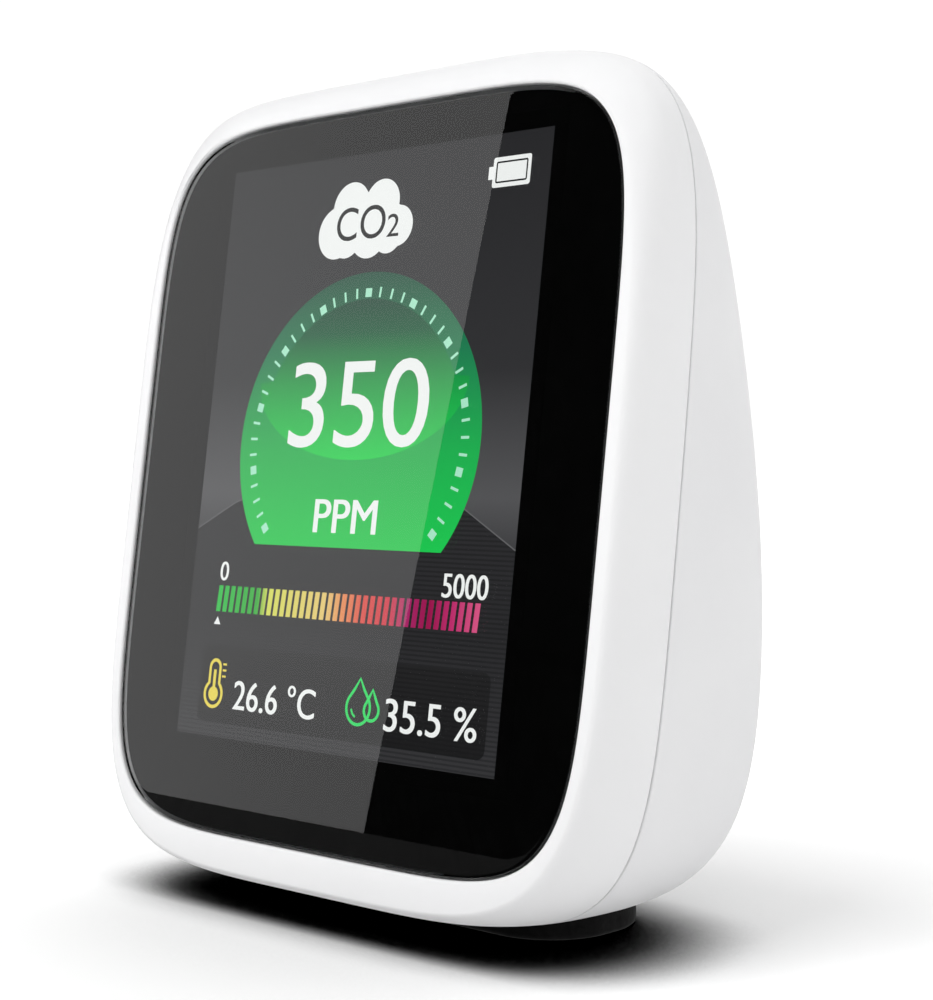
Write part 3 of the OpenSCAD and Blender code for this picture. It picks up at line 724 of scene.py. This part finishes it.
def back_openings():
    """Cutters for the vents, the socket's mouth, the reset hole, the button and the screws."""
    slot = stadium(VENT_L, VENT_W)
    mouth = moved(stadium(PORT_W + MOUTH_GAP, PORT_H + MOUTH_GAP), 0, PORT_Z)
    reset = moved(circle(RESET_R, 48), -BUTTON_X, PORT_Z)
    guide = moved(circle(BUTTON_R + SLIDE_GAP, 96), BUTTON_X, PORT_Z)
    steps = [(k - (VENT_COUNT - 1) / 2) * VENT_PITCH for k in range(VENT_COUNT)]
    cuts = [VENTS.opening("slot", moved(slot, 0, step), -6.0, 0.35) for step in steps]
    cuts.append(UPRIGHT.opening("mouth", mouth, PORT_Y - 3.0, 0.45))
    cuts.append(UPRIGHT.opening("reset", reset, BUTTON_Y - 6.0, 0.2))
    cuts.append(UPRIGHT.opening("guide", guide, BUTTON_Y - 6.0, 0.35))
    recess, room = circle(RECESS_R, 64), FLANGE_R + SLIDE_GAP
    cuts += [TILTED.opening("recess", moved(recess, x, s), seat, 0.3) for x, s, seat in SCREWS]
    cuts += [rod("pass", x, s, PASS_R, 0, 40, leaning, 48) for x, s, _ in SCREWS]
    return cuts + [rod("flange_room", BUTTON_X, PORT_Z, room, BUTTON_Y - 6, BUTTON_Y - 2.7, level)]


def make_rear_shell():
    rows = [casing(ANGLES, SPLIT + SEAM_SHARE, LIP_SKIN)] + seam_rows(1)[::-1]
    start = SPLIT + SEAM_SHARE + SEAM_EDGE[0][0] / SPLIT_DEPTH
    rows += rear_rows(0.0, start)[1:]
    tips = (np.array([0, 5.0, 0]), crest(1.0))
    shell = solid("rear_shell_moulding", rows, leaning, SHELL_BACK, tips=tips)
    for cut in [make_rear_hollow()] + back_openings():
        combine(shell, cut, "DIFFERENCE")
    shade(shell)
    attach(shell, "casing")
    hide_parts("rear_shell")


# The pad's corners, and its lower edge: how far it stands out and its height.
PAD_CORNER, PAD_EDGE = 7.0, [(-0.5, 0.0), (-0.28, 0.06), (-0.1, 0.2), (0.0, 0.45)]


def make_base_pad():
    """Rubber foot whose top follows the casing's underside, with a softened lower edge."""
    low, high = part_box("base_pad")
    w, d = (high.x - low.x) / MM, (high.y - low.y) / MM
    mid_y, top = (high.y + low.y) / 2 / MM, high.z / MM
    outline = rounded(w, d, PAD_CORNER, 16)
    rings = []
    for grow, z in PAD_EDGE + [(0.0, top)]:
        o = grown(outline, grow)
        rings.append(np.stack([o[:, 0], mid_y + o[:, 1], np.full(len(o), z)], -1))
    pad = solid("base_pad_moulding", rings, np.asarray, RUBBER)
    tips = (np.array([0, 0.3, 0]), crest(1.0, -0.05))
    combine(pad, solid("casing_room", rear_rows(-0.05, 0.02, 40), leaning, tips=tips), "DIFFERENCE")
    shade(pad)
    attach(pad, "casing")
    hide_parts("base_pad")


# ---- glass and display

# Depths of the print behind the glass and of the picture's layers, the background first.
PRINT_N, LIGHT_N, LEAF = 1.256, 1.296, 0.003
HILL_N, RIDGE_N, DISC_N, LENS_N, DARK_N, MARK_N, OVER_N, WORD_N = (
    LIGHT_N - away for away in (0.005, 0.009, 0.014, 0.018, 0.02, 0.024, 0.027, 0.03))


def make_glass():
    """Cover glass with rounded edges, and the black print on its back round the display."""
    profile = [(-0.6, 1.25), (-0.2, 1.25), (-0.06, 1.21), (0.0, 1.1), (0.0, 0.42), (-0.02, 0.33),
               (-0.08, 0.24), (-0.17, 0.18), (-0.3, 0.152), (-0.45, 0.15), (-0.9, 0.15)]
    rings = [glass_ring(n, grow) for grow, n in profile]
    tips = [np.array([0, n, -GLASS_DROP]) for n in (GLASS_SUNK + GLASS_T, GLASS_SUNK)]
    glass = solid("cover_glass_plate", rings, leaning, GLASS, tips=tips)
    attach(glass, "casing")
    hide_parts("cover_glass")
    edge = (SCREEN_W / 2 + 0.25, SCREEN_H / 2 + 0.25)
    rings = [glass_ring(PRINT_N, -0.3), glass_ring(PRINT_N + LEAF, -0.3),
             window_ring(PRINT_N + LEAF, *edge), window_ring(PRINT_N, *edge)]
    border = solid("glass_print", rings, leaning, PRINT, ends="loop")
    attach(border, "casing")


def light_piece(obj):
    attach(obj, "casing")


def leaf(name, outline, n, finish):
    """A thin flat piece of the display's picture, of an outline given as X and S."""
    o = np.asarray(outline, float)
    count = len(o)
    points = [(x, n, s) for x, s in o] + [(x, n + LEAF, s) for x, s in o]
    faces = [list(range(count)), list(range(2 * count - 1, count - 1, -1))]
    faces += [[i, i + count, (i + 1) % count + count, (i + 1) % count] for i in range(count)]
    return new_mesh(name, leaning(points), facing_out(leaning(points), faces), finish)


def stroke(name, path, width, n, finish, closed=True):
    """A line of even width along a path given as X and S."""
    p = np.asarray(path, float)
    ahead, behind = np.roll(p, -1, 0), np.roll(p, 1, 0)
    if not closed:
        ahead[-1], behind[0] = p[-1], p[0]
    along = ahead - behind
    side = np.stack([along[:, 1], -along[:, 0]], -1)
    side *= width / 2 / np.linalg.norm(side, axis=1)[:, None]
    corners = [(p + side, n), (p - side, n), (p - side, n + LEAF), (p + side, n + LEAF)]
    rings = np.stack([at_depth(q, m) for q, m in corners], 1)
    return solid(name, list(rings), leaning, finish, ends="loop" if closed else "fans")


def words(name, text, box, n, finish, bold=0.0):
    """Lettering that fills a box of left, right, foot and head, from the built-in typeface. Bold
    lettering is two copies side by side, the second a little nearer the glass."""
    x0, x1, s0, s1 = box
    curve = bpy.data.curves.new(name, "FONT")
    curve.body = text
    curve.extrude = 0.01
    curve.resolution_u = 6
    obj = add_object(name, curve)
    mesh = worked_out(obj)
    bpy.data.objects.remove(obj)
    p = np.array([v.co for v in mesh.vertices])
    low, high = p.min(0), p.max(0)
    share = (p - low) / (high - low)
    faces = [list(f.vertices) for f in mesh.polygons]
    copies = []
    for shift, depth in [(0.0, n), (bold, n - 0.004)][:2 if bold else 1]:
        place = np.stack([x0 + share[:, 0] * (x1 - x0 - bold) + shift, depth + (1 - share[:, 2]) * LEAF,
                          s0 + share[:, 1] * (s1 - s0)], -1)
        copies.append(new_mesh(name, leaning(place), faces, finish))
    light_piece(joined(name, copies) if bold else copies[0])


def arc(cx, cs, rx, rs, start, end, steps):
    """Points along part of an ellipse, its angles in degrees from the right."""
    a = np.radians(np.linspace(start, end, steps))
    return np.stack([cx + rx * np.cos(a), cs + rs * np.sin(a)], -1)


def height(s):
    """Height above the ground of a place on the display."""
    return FACE_Z + s * math.cos(LEAN)


def cloud_outline(lobes, middle):
    """Outline of overlapping circles, given by X, S and radius, as seen from a middle point."""
    points = []
    for a in directions(180):
        d = np.array([math.cos(a), math.sin(a)])
        far = 0.0
        for x, s, r in lobes:
            c = np.array([x, s]) - middle
            along = c @ d
            square = r * r - (c @ c - along * along)
            if square > 0:
                far = max(far, along + math.sqrt(square))
        points.append(middle + far * d)
    return points


def drop(cx, cs, r, tall):
    """A falling drop: a round foot drawn up to a point."""
    foot = arc(cx, cs, r, r, -220, 40, 40)
    flank, up = r * 0.42, cs + tall * 0.62
    return np.concatenate([foot, [[cx + flank, up], [cx, cs + tall], [cx - flank, up]]])


GAUGE_S, GAUGE_R, GAUGE_FOOT = 0.72, 16.3, -9.5
GAUGE_SWEEP, GAUGE_STEPS = 127, 20  # degrees and steps of the marks to each side of the top
SCALE_LEFT, SCALE_RIGHT, SCALE_LOW, SCALE_HIGH, BAR_COUNT = -17.4, 18.4, -16.4, -13.8, 38
BAR_SHARE, BAR_SLANT = 0.66, 0.08
STRIPES = 0.42
# Lettering of the readings: name, text, box of left, right, foot and head, and boldness.
READINGS = [
    ("reading_ppm", "350", (-9.4, 9.4, 0.1, 8.5), 0.12),
    ("unit_ppm", "PPM", (-4.5, 4.1, -8.1, -4.9), 0.14),
    ("scale_low", "0", (-17.4, -16.1, -13.3, -11.4), 0.08),
    ("scale_high", "5000", (13.3, 18.9, -13.5, -11.3), 0.1),
    ("reading_celsius", "26.6 °C", (-13.5, -1.7, -25.9, -22.9), 0.1),
    ("reading_humidity", "35.5 %", (7.6, 19.1, -26.0, -23.0), 0.1),
]


def make_display():
    """The lit picture, which lies against the underside of the glass."""
    half_w, half_h = SCREEN_W / 2, SCREEN_H / 2
    back = lit("light_background", 2, height(-half_h), height(half_h),
               [(0.0, 46, 46, 48), (0.3, 50, 50, 52), (0.42, 88, 88, 90),
                (0.62, 52, 52, 54), (1.0, 42, 42, 44)])
    plate = rectangle(-half_w, half_w, -half_h, half_h)
    light_piece(leaf("display_background", plate, LIGHT_N, back))
    ground = lit("light_ground", 2, height(-half_h), height(-5),
                 [(0.0, 56, 56, 58), (0.5, 44, 44, 46), (1.0, 48, 48, 50)], STRIPES)
    ridge = [(half_w, -9.0), (15.1, -5.5), (8, -3.2), (-8, -3.0), (-16.2, -5.4), (-half_w, -8.1)]
    hill = [(-half_w, -half_h), (half_w, -half_h)] + ridge
    light_piece(leaf("display_hill", hill, HILL_N, ground))
    light_piece(stroke("display_ridge", ridge, 0.12, RIDGE_N, LINE_LIGHT, closed=False))
    make_gauge()
    make_readings()
    make_scale()
    make_info()
    make_signs()


def make_gauge():
    """The round gauge: a green disc cut off at its foot, a darker lens in it, and its marks."""
    green = lit("light_gauge", 2, height(GAUGE_FOOT), height(GAUGE_S + GAUGE_R),
                [(0.0, 32, 205, 84), (0.35, 34, 180, 84), (0.7, 34, 128, 84),
                 (1.0, 36, 84, 66)])
    lens = lit("light_lens", 2, height(-1.1), height(14),
               [(0.0, 36, 214, 86), (0.35, 32, 176, 78), (0.8, 22, 96, 62),
                (1.0, 28, 78, 58)])
    foot = math.degrees(math.asin((GAUGE_FOOT - GAUGE_S) / GAUGE_R))
    disc = arc(0, GAUGE_S, GAUGE_R, GAUGE_R, foot, 180 - foot, 160)
    light_piece(leaf("gauge_disc", disc, DISC_N, green))
    inner = np.concatenate([arc(0, 6.6, 14.2, 7.7, 180, 360, 80),
                            arc(0, GAUGE_S, 13.7, 13.7, 26, 154, 80)])
    light_piece(leaf("gauge_lens", inner, LENS_N, lens))
    marks = []
    for k in range(-GAUGE_STEPS, GAUGE_STEPS + 1):
        angle = math.radians(k * GAUGE_SWEEP / GAUGE_STEPS)
        long, wide, middle = (1.0, 0.26, 14.35) if k % 4 else (0.85, 0.85, 14.3)
        d = np.array([math.sin(angle), math.cos(angle)])
        e = np.array([d[1], -d[0]])
        centre = np.array([0, GAUGE_S]) + middle * d
        corners = [centre + a * long / 2 * d + b * wide / 2 * e
                   for a, b in ((1, 1), (1, -1), (-1, -1), (-1, 1))]
        marks.append(leaf("mark", corners, MARK_N, PALE_LIGHT))
    light_piece(joined("gauge_marks", marks))


def make_readings():
    for name, text, box, bold in READINGS:
        words(name, text, box, WORD_N, WHITE_LIGHT, bold)
    pointer = [(-17.6, -17.7), (-16.6, -17.7), (-17.1, -16.9)]
    light_piece(leaf("scale_pointer", pointer, WORD_N, WHITE_LIGHT))


def make_scale():
    """A row of slanting bars that runs from green through yellow and red to violet."""
    tones = [(0.0, 40, 196, 74), (0.17, 52, 176, 58), (0.21, 222, 226, 96),
             (0.44, 238, 206, 122), (0.5, 238, 150, 92), (0.58, 226, 84, 74),
             (0.68, 214, 56, 76), (0.74, 176, 40, 108), (0.82, 158, 22, 78),
             (0.9, 196, 48, 112), (1.0, 226, 92, 140)]
    colours = lit("light_scale", 0, SCALE_LEFT, SCALE_RIGHT, tones)
    pitch = (SCALE_RIGHT - SCALE_LEFT) / BAR_COUNT
    bars = []
    for k in range(BAR_COUNT):
        x = SCALE_LEFT + k * pitch
        w = pitch * BAR_SHARE
        outline = [(x - BAR_SLANT, SCALE_LOW), (x - BAR_SLANT + w, SCALE_LOW),
                   (x + BAR_SLANT + w, SCALE_HIGH), (x + BAR_SLANT, SCALE_HIGH)]
        bars.append(leaf("bar", outline, MARK_N, colours))
    light_piece(joined("scale_bars", bars))


def make_info():
    """The dark panel below the scale, with a thermometer and two drops."""
    dark = lit("light_info", 2, height(-27.4), height(-19.8),
               [(0.0, 30, 30, 31), (1.0, 38, 38, 39)], STRIPES)
    panel = moved(rounded(38.9, 7.6, 0.9), 0.75, -23.6)
    light_piece(leaf("info_panel", panel, DISC_N, dark))
    x, low, high = -16.6, -24.6, -22.0
    stem = np.concatenate([arc(x, high, 0.75, 0.75, 0, 180, 16), arc(x, low, 1.28, 1.28, 126, 414, 40)])
    column = rectangle(-16.8, -16.4, low, -22.2)
    pieces = [stroke("stem", stem, 0.34, MARK_N, YELLOW_LIGHT),
              leaf("bulb", arc(x, low, 0.72, 0.72, 0, 350, 30), MARK_N, YELLOW_LIGHT),
              leaf("column", column, MARK_N - 0.002, YELLOW_LIGHT)]
    pieces += [leaf("notch", rectangle(-15.5, -14.95, s - 0.1, s + 0.1), MARK_N, YELLOW_LIGHT)
               for s in (-21.6 - k * 0.6 for k in range(3))]
    light_piece(joined("sign_warmth", pieces))
    shine = arc(4.1, -24.2, 0.9, 0.9, 190, 250, 12)
    drops = [stroke("drop", drop(4.1, -24.2, 1.55, 2.7), 0.3, MARK_N, GREEN_LIGHT),
             stroke("drop", drop(5.85, -24.3, 0.95, 1.9), 0.3, OVER_N, GREEN_LIGHT),
             stroke("shine", shine, 0.22, MARK_N, GREEN_LIGHT, closed=False)]
    light_piece(joined("sign_damp", drops))


def make_signs():
    """The cloud with its chemical sign, and the battery sign."""
    lobes = [(-5.3, 21.2, 2.6), (-3.6, 23.6, 2.5), (0.6, 23.7, 2.35), (3.0, 21.3, 2.0), (-3.9, 20.7, 2.1),
             (-0.8, 20.9, 2.5), (1.8, 20.6, 1.9)]
    cloud = cloud_outline(lobes, np.array([-1.4, 22.0]))
    light_piece(leaf("sign_cloud", cloud, DISC_N, WHITE_LIGHT))
    words("sign_co", "CO", (-5.4, 1.3, 20.3, 23.6), DARK_N, DARK_LIGHT)
    words("sign_two", "2", (1.6, 3.2, 20.3, 22.5), DARK_N, DARK_LIGHT)
    cell, line = (moved(rounded(*size), 16.95, 25.2) for size in ((4.55, 2.8, 0.25), (3.65, 1.85, 0.12)))
    nub = rectangle(14.15, 14.75, 24.6, 25.8)
    light_piece(joined("sign_cell", [leaf("part", o, DISC_N, WHITE_LIGHT) for o in (cell, nub)]))
    light_piece(stroke("sign_cell_line", line, 0.16, DARK_N, DARK_LIGHT))


# ---- button, socket and screws

def make_button():
    """Cap with a softened rim and a shallow dish, above its flange and stem."""
    r = BUTTON_R
    under = -FLANGE_Y - FLANGE_T
    profile = [(0.0, -STEM_Y), (STEM_R - 0.15, -STEM_Y), (STEM_R, -STEM_Y + 0.15), (STEM_R, under),
               (FLANGE_R - 0.1, under), (FLANGE_R, under + 0.1), (FLANGE_R, -FLANGE_Y - 0.1),
               (FLANGE_R - 0.1, -FLANGE_Y), (r, -FLANGE_Y), (r, 0.3), (r - 0.03, 0.43), (r - 0.1, 0.55),
               (r - 0.21, 0.63), (r - 0.36, 0.68), (r - 0.55, 0.7), (r - 0.8, 0.69)]
    profile += [(q, 0.69 - 0.3 * (1 - (q / (r - 0.8)) ** 2)) for q in (2.2, 2.0, 1.6, 1.2, 0.8, 0.4, 0.0)]
    placed = [(q, BUTTON_Y + y) for q, y in profile]
    cap = lathe("power_button_cap", placed, BUTTON_X, PORT_Z, level, BUTTON_WHITE)
    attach(cap, "button")
    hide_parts("power_button")


def port_ring(y, inset):
    """The socket's outline at a depth, drawn in by an inset."""
    return at_depth(moved(stadium(PORT_W - 2 * inset, PORT_H - 2 * inset), 0, PORT_Z), y)


def make_socket():
    """Charging socket: a drawn steel sleeve round a tongue with gold contacts."""
    back, floor = PORT_Y - PORT_L, PORT_Y - PORT_L + 1.2
    rows = [(back, 0.25), (back + 0.1, 0.05), (back + 0.3, 0.0), (PORT_Y - 0.12, 0.0),
            (PORT_Y - 0.03, 0.04), (PORT_Y, 0.13), (PORT_Y - 0.03, 0.24), (PORT_Y - 0.14, 0.3),
            (floor, 0.3)]
    sleeve = solid("usb_sleeve", [port_ring(*row) for row in rows], level, SOCKET_STEEL)
    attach(sleeve, "casing")
    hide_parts("usb_socket")
    tip = PORT_Y - 0.8
    rows = [at_depth(moved(rounded(6.7 - 2 * inset, 0.7 - 2 * inset, 0.12), 0, PORT_Z), y)
            for y, inset in [(floor, 0.0), (tip - 0.2, 0.0), (tip - 0.08, 0.06), (tip, 0.16)]]
    tongue = solid("usb_tongue_moulding", rows, level, BLACK_PLASTIC)
    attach(tongue, "casing")
    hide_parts("usb_tongue")
    strips = []
    for side in (-1, 1):
        for k in range(8):
            x = (k - 3.5) * 0.7
            o = moved(rounded(0.34, 0.06, 0.02, 3), x, PORT_Z + side * 0.355)
            rows = [at_depth(o, y) for y in (floor + 0.1, tip - 0.35)]
            strips.append(solid("strip", rows, level, GOLD))
    contacts = joined("usb_contacts", strips)
    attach(contacts, "casing")


def make_screw(x, s, seat, tip):
    """Pan-head screw with a cross recess and rings in place of a coiled thread."""
    pitch = 0.4
    profile = [(0.0, tip), (0.55, tip + 0.1)]
    for k in range(int((seat - tip - 1.0) / pitch)):
        n = tip + 0.3 + k * pitch
        profile += [(0.74, n), (0.95, n + pitch / 2)]
    profile += [(0.74, seat - 0.3), (0.9, seat), (1.72, seat), (1.8, seat + 0.08), (1.8, seat + 0.5),
                (1.72, seat + 0.78), (1.5, seat + 1.0), (1.1, seat + 1.14), (0.6, seat + 1.19),
                (0.0, seat + 1.2)]
    screw = lathe("screw", profile, x, s, leaning, STEEL, 48)
    for wide, tall in ((1.0, 0.22), (0.22, 1.0)):
        rings = [at_depth(moved(rounded(2.1 * wide * grow, 2.1 * tall * grow, 0.08, 3), x, s), n)
                 for n, grow in ((seat + 0.35, 0.55), (seat + 1.5, 1.0))]
        combine(screw, solid("driver", rings, leaning), "DIFFERENCE")
    return screw


def make_screws():
    screws = [make_screw(x, s, seat, INSIDE_N + 0.8) for x, s, seat in SCREWS]
    whole = joined("housing_screw_set", screws)
    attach(whole, "casing")
    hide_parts("housing_screws")


# ---- stage, light and camera

# The camera: millimetres from the display's middle, degrees of turn and dip, lens and sensor.
CAMERA_FROM_FACE = (134.6, -128.0, -0.6)
CAMERA_TURN, CAMERA_DIP, LENS, SENSOR = 42.97, 1.35, 70.6, 36.0
# Lamps: power, spread or size in degrees or metres, and the sun's turns, the disc's place and aim.
SUN_POWER, SUN_SPREAD, SUN_TIP, SUN_TURN = 1.7, 40, 36, -22
DISC_POWER, DISC_SIZE = 1.5, 0.5
DISC_PLACE, DISC_AIM = Vector((-0.35, -0.6, 0.35)), Vector((0, 0, 0.04))
# Directions in which the glass sees darkness: ahead of the object and to its left. The surround
# dims from one strength to another between two nearnesses to that direction.
DARK_WAY = Vector((-0.62, -0.76, 0.2)).normalized()
FALL_FROM, FALL_TO, OPEN_STRENGTH, DARK_STRENGTH, SEEN_STRENGTH = 0.1, 0.6, 0.86, 0.01, 1.05


def make_camera():
    data = bpy.data.cameras.new("camera")
    data.sensor_fit = "VERTICAL"
    data.sensor_height = SENSOR
    data.lens = LENS
    data.clip_start, data.clip_end = 0.01, 50
    camera = add_object("camera", data)
    camera.location = Vector(level(CAMERA_FROM_FACE) * MM)
    camera.rotation_euler = (math.radians(90 - CAMERA_DIP), 0, math.radians(CAMERA_TURN))
    bpy.context.scene.camera = camera


def add_lamp(name, kind, power):
    """A lamp that neither the glass nor a gloss shows."""
    data = bpy.data.lights.new(name, kind)
    data.energy = power
    lamp = add_object(name, data)
    lamp.visible_glossy = lamp.visible_transmission = False
    return lamp


def make_world():
    """White all round, but dark where the glass faces, so that it stays black."""
    world = bpy.data.worlds.new("surround")
    world.use_nodes = True
    nodes, links = world.node_tree.nodes, world.node_tree.links
    back = nodes["Background"]
    place = nodes.new("ShaderNodeTexCoord").outputs["Generated"]
    dot = nodes.new("ShaderNodeVectorMath")
    dot.operation = "DOT_PRODUCT"
    dot.inputs[1].default_value = DARK_WAY
    links.new(place, dot.inputs[0])
    fall = nodes.new("ShaderNodeMapRange")
    fall.interpolation_type = "SMOOTHSTEP"
    for socket, value in (("From Min", FALL_FROM), ("From Max", FALL_TO),
                          ("To Min", OPEN_STRENGTH), ("To Max", DARK_STRENGTH)):
        fall.inputs[socket].default_value = value
    links.new(dot.outputs["Value"], fall.inputs["Value"])
    path = nodes.new("ShaderNodeLightPath").outputs["Is Camera Ray"]
    seen = nodes.new("ShaderNodeMix")
    links.new(path, seen.inputs[0])
    links.new(fall.outputs[0], seen.inputs[2])
    seen.inputs[3].default_value = SEEN_STRENGTH
    back.inputs["Color"].default_value = (1, 1, 1, 1)
    links.new(seen.outputs[0], back.inputs["Strength"])
    bpy.context.scene.world = world


FLOOR_R = 6000


def make_floor():
    """Pale sheet with painted light: it glows, and is seen brighter than it shines, and a painted shadow
    makes it dark only close under the object.
    """
    n = Nodes("floor_pale_painted_shadow")
    pale = n.mix(n.noise(6.0), (0.93, 0.93, 0.93, 1), (0.91, 0.91, 0.91, 1))
    # Painted shadow: ambient occlusion darkens the floor's colour and glow close under the object, with a
    # wider, fainter painted shadow round it.
    painted_contact_shadow = n.add("ShaderNodeAmbientOcclusion", {"Distance": 0.013}, samples=12).outputs["AO"]
    painted_contact_shadow = n.spread(painted_contact_shadow, 0.0, 1.0, 0.34, 0.74)
    wide = n.add("ShaderNodeAmbientOcclusion", {"Distance": 0.13}, samples=8).outputs["AO"]
    wide = n.spread(wide, 0.55, 1.0, 0.3, 0.97)
    tone = n.mix(n.math("MULTIPLY", painted_contact_shadow, wide), (0.0, 0.0, 0.0, 1), pale)
    n.link(tone, "Base Color")
    n.link(tone, "Emission Color")
    # Painted glow: the floor emits its own shadowed tone, twice as strongly towards the camera as towards
    # other surfaces.
    seen = n.add("ShaderNodeLightPath").outputs["Is Camera Ray"]
    n.link(n.spread(seen, 0.15, 0.3, 0.0, 1.0), "Emission Strength")
    n.set(Roughness=0.9, Specular_IOR_Level=0.0)
    points = [(x, y, 0) for x, y in circle(FLOOR_R, 64)]
    floor = new_mesh("floor", points, [list(range(64))], n.material)
    floor.visible_glossy = floor.visible_transmission = False


# The cards that the glass mirrors: the slanting edge of the bright one's image on the glass,
# the way to the cards and how far away they stand, and how strongly each shines.
GLARE_SLANT = ((16.9, 35.0), (7.05, -35.3))
CARD_WAY, CARD_AWAY, BRIGHT, DIM = np.array([-0.68, -0.70, 0.2]), 420.0, 1.2, 0.11


def mirrored(x, s):
    """Where a card's corner stands, so that its image lies at a place on the glass."""
    camera = level(CAMERA_FROM_FACE)
    point = leaning((x, GLASS_SUNK, s))
    normal = leaning((0, -1, 0)) - leaning((0, 0, 0))
    ray = (point - camera) / np.linalg.norm(point - camera)
    out = ray - 2 * (ray @ normal) * normal
    return point + out * CARD_AWAY / (out @ CARD_WAY)


def make_card(name, corners, strength):
    """A shining card of which only mirrored images are seen."""
    finish = Nodes(name)
    finish.link(finish.mix(finish.noise(2.0), (1, 1, 1, 1), (0.96, 0.96, 0.97, 1)), "Emission Color")
    finish.set(Base_Color=(0, 0, 0, 1), Emission_Strength=strength)
    points = [mirrored(x, s) for x, s in corners]
    card = new_mesh(name, points, [list(range(len(points)))], finish.material)
    card.visible_camera = card.visible_diffuse = card.visible_shadow = card.visible_transmission = False


def make_stage():
    (top_x, top_s), (low_x, low_s) = GLARE_SLANT
    make_card("card_bright", [(-60, low_s), (low_x, low_s), (top_x, top_s), (-60, top_s)], BRIGHT)
    make_card("card_dim", rectangle(-60, 40, -60, low_s), DIM)
    make_floor()
    make_world()
    sun = add_lamp("sun", "SUN", SUN_POWER)
    sun.data.angle = math.radians(SUN_SPREAD)
    sun.rotation_euler = (math.radians(SUN_TIP), 0, math.radians(SUN_TURN))
    disc = add_lamp("soft_front", "AREA", DISC_POWER)
    disc.data.shape, disc.data.size = "DISK", DISC_SIZE
    disc.location = DISC_PLACE
    disc.rotation_euler = (DISC_AIM - DISC_PLACE).to_track_quat("-Z", "Y").to_euler()
    bpy.context.scene.view_settings.view_transform = "Standard"


make_camera()
finish_nodes()
make_front_shell()
make_rear_shell()
make_base_pad()
make_glass()
make_display()
make_button()
make_socket()
make_screws()
make_stage()
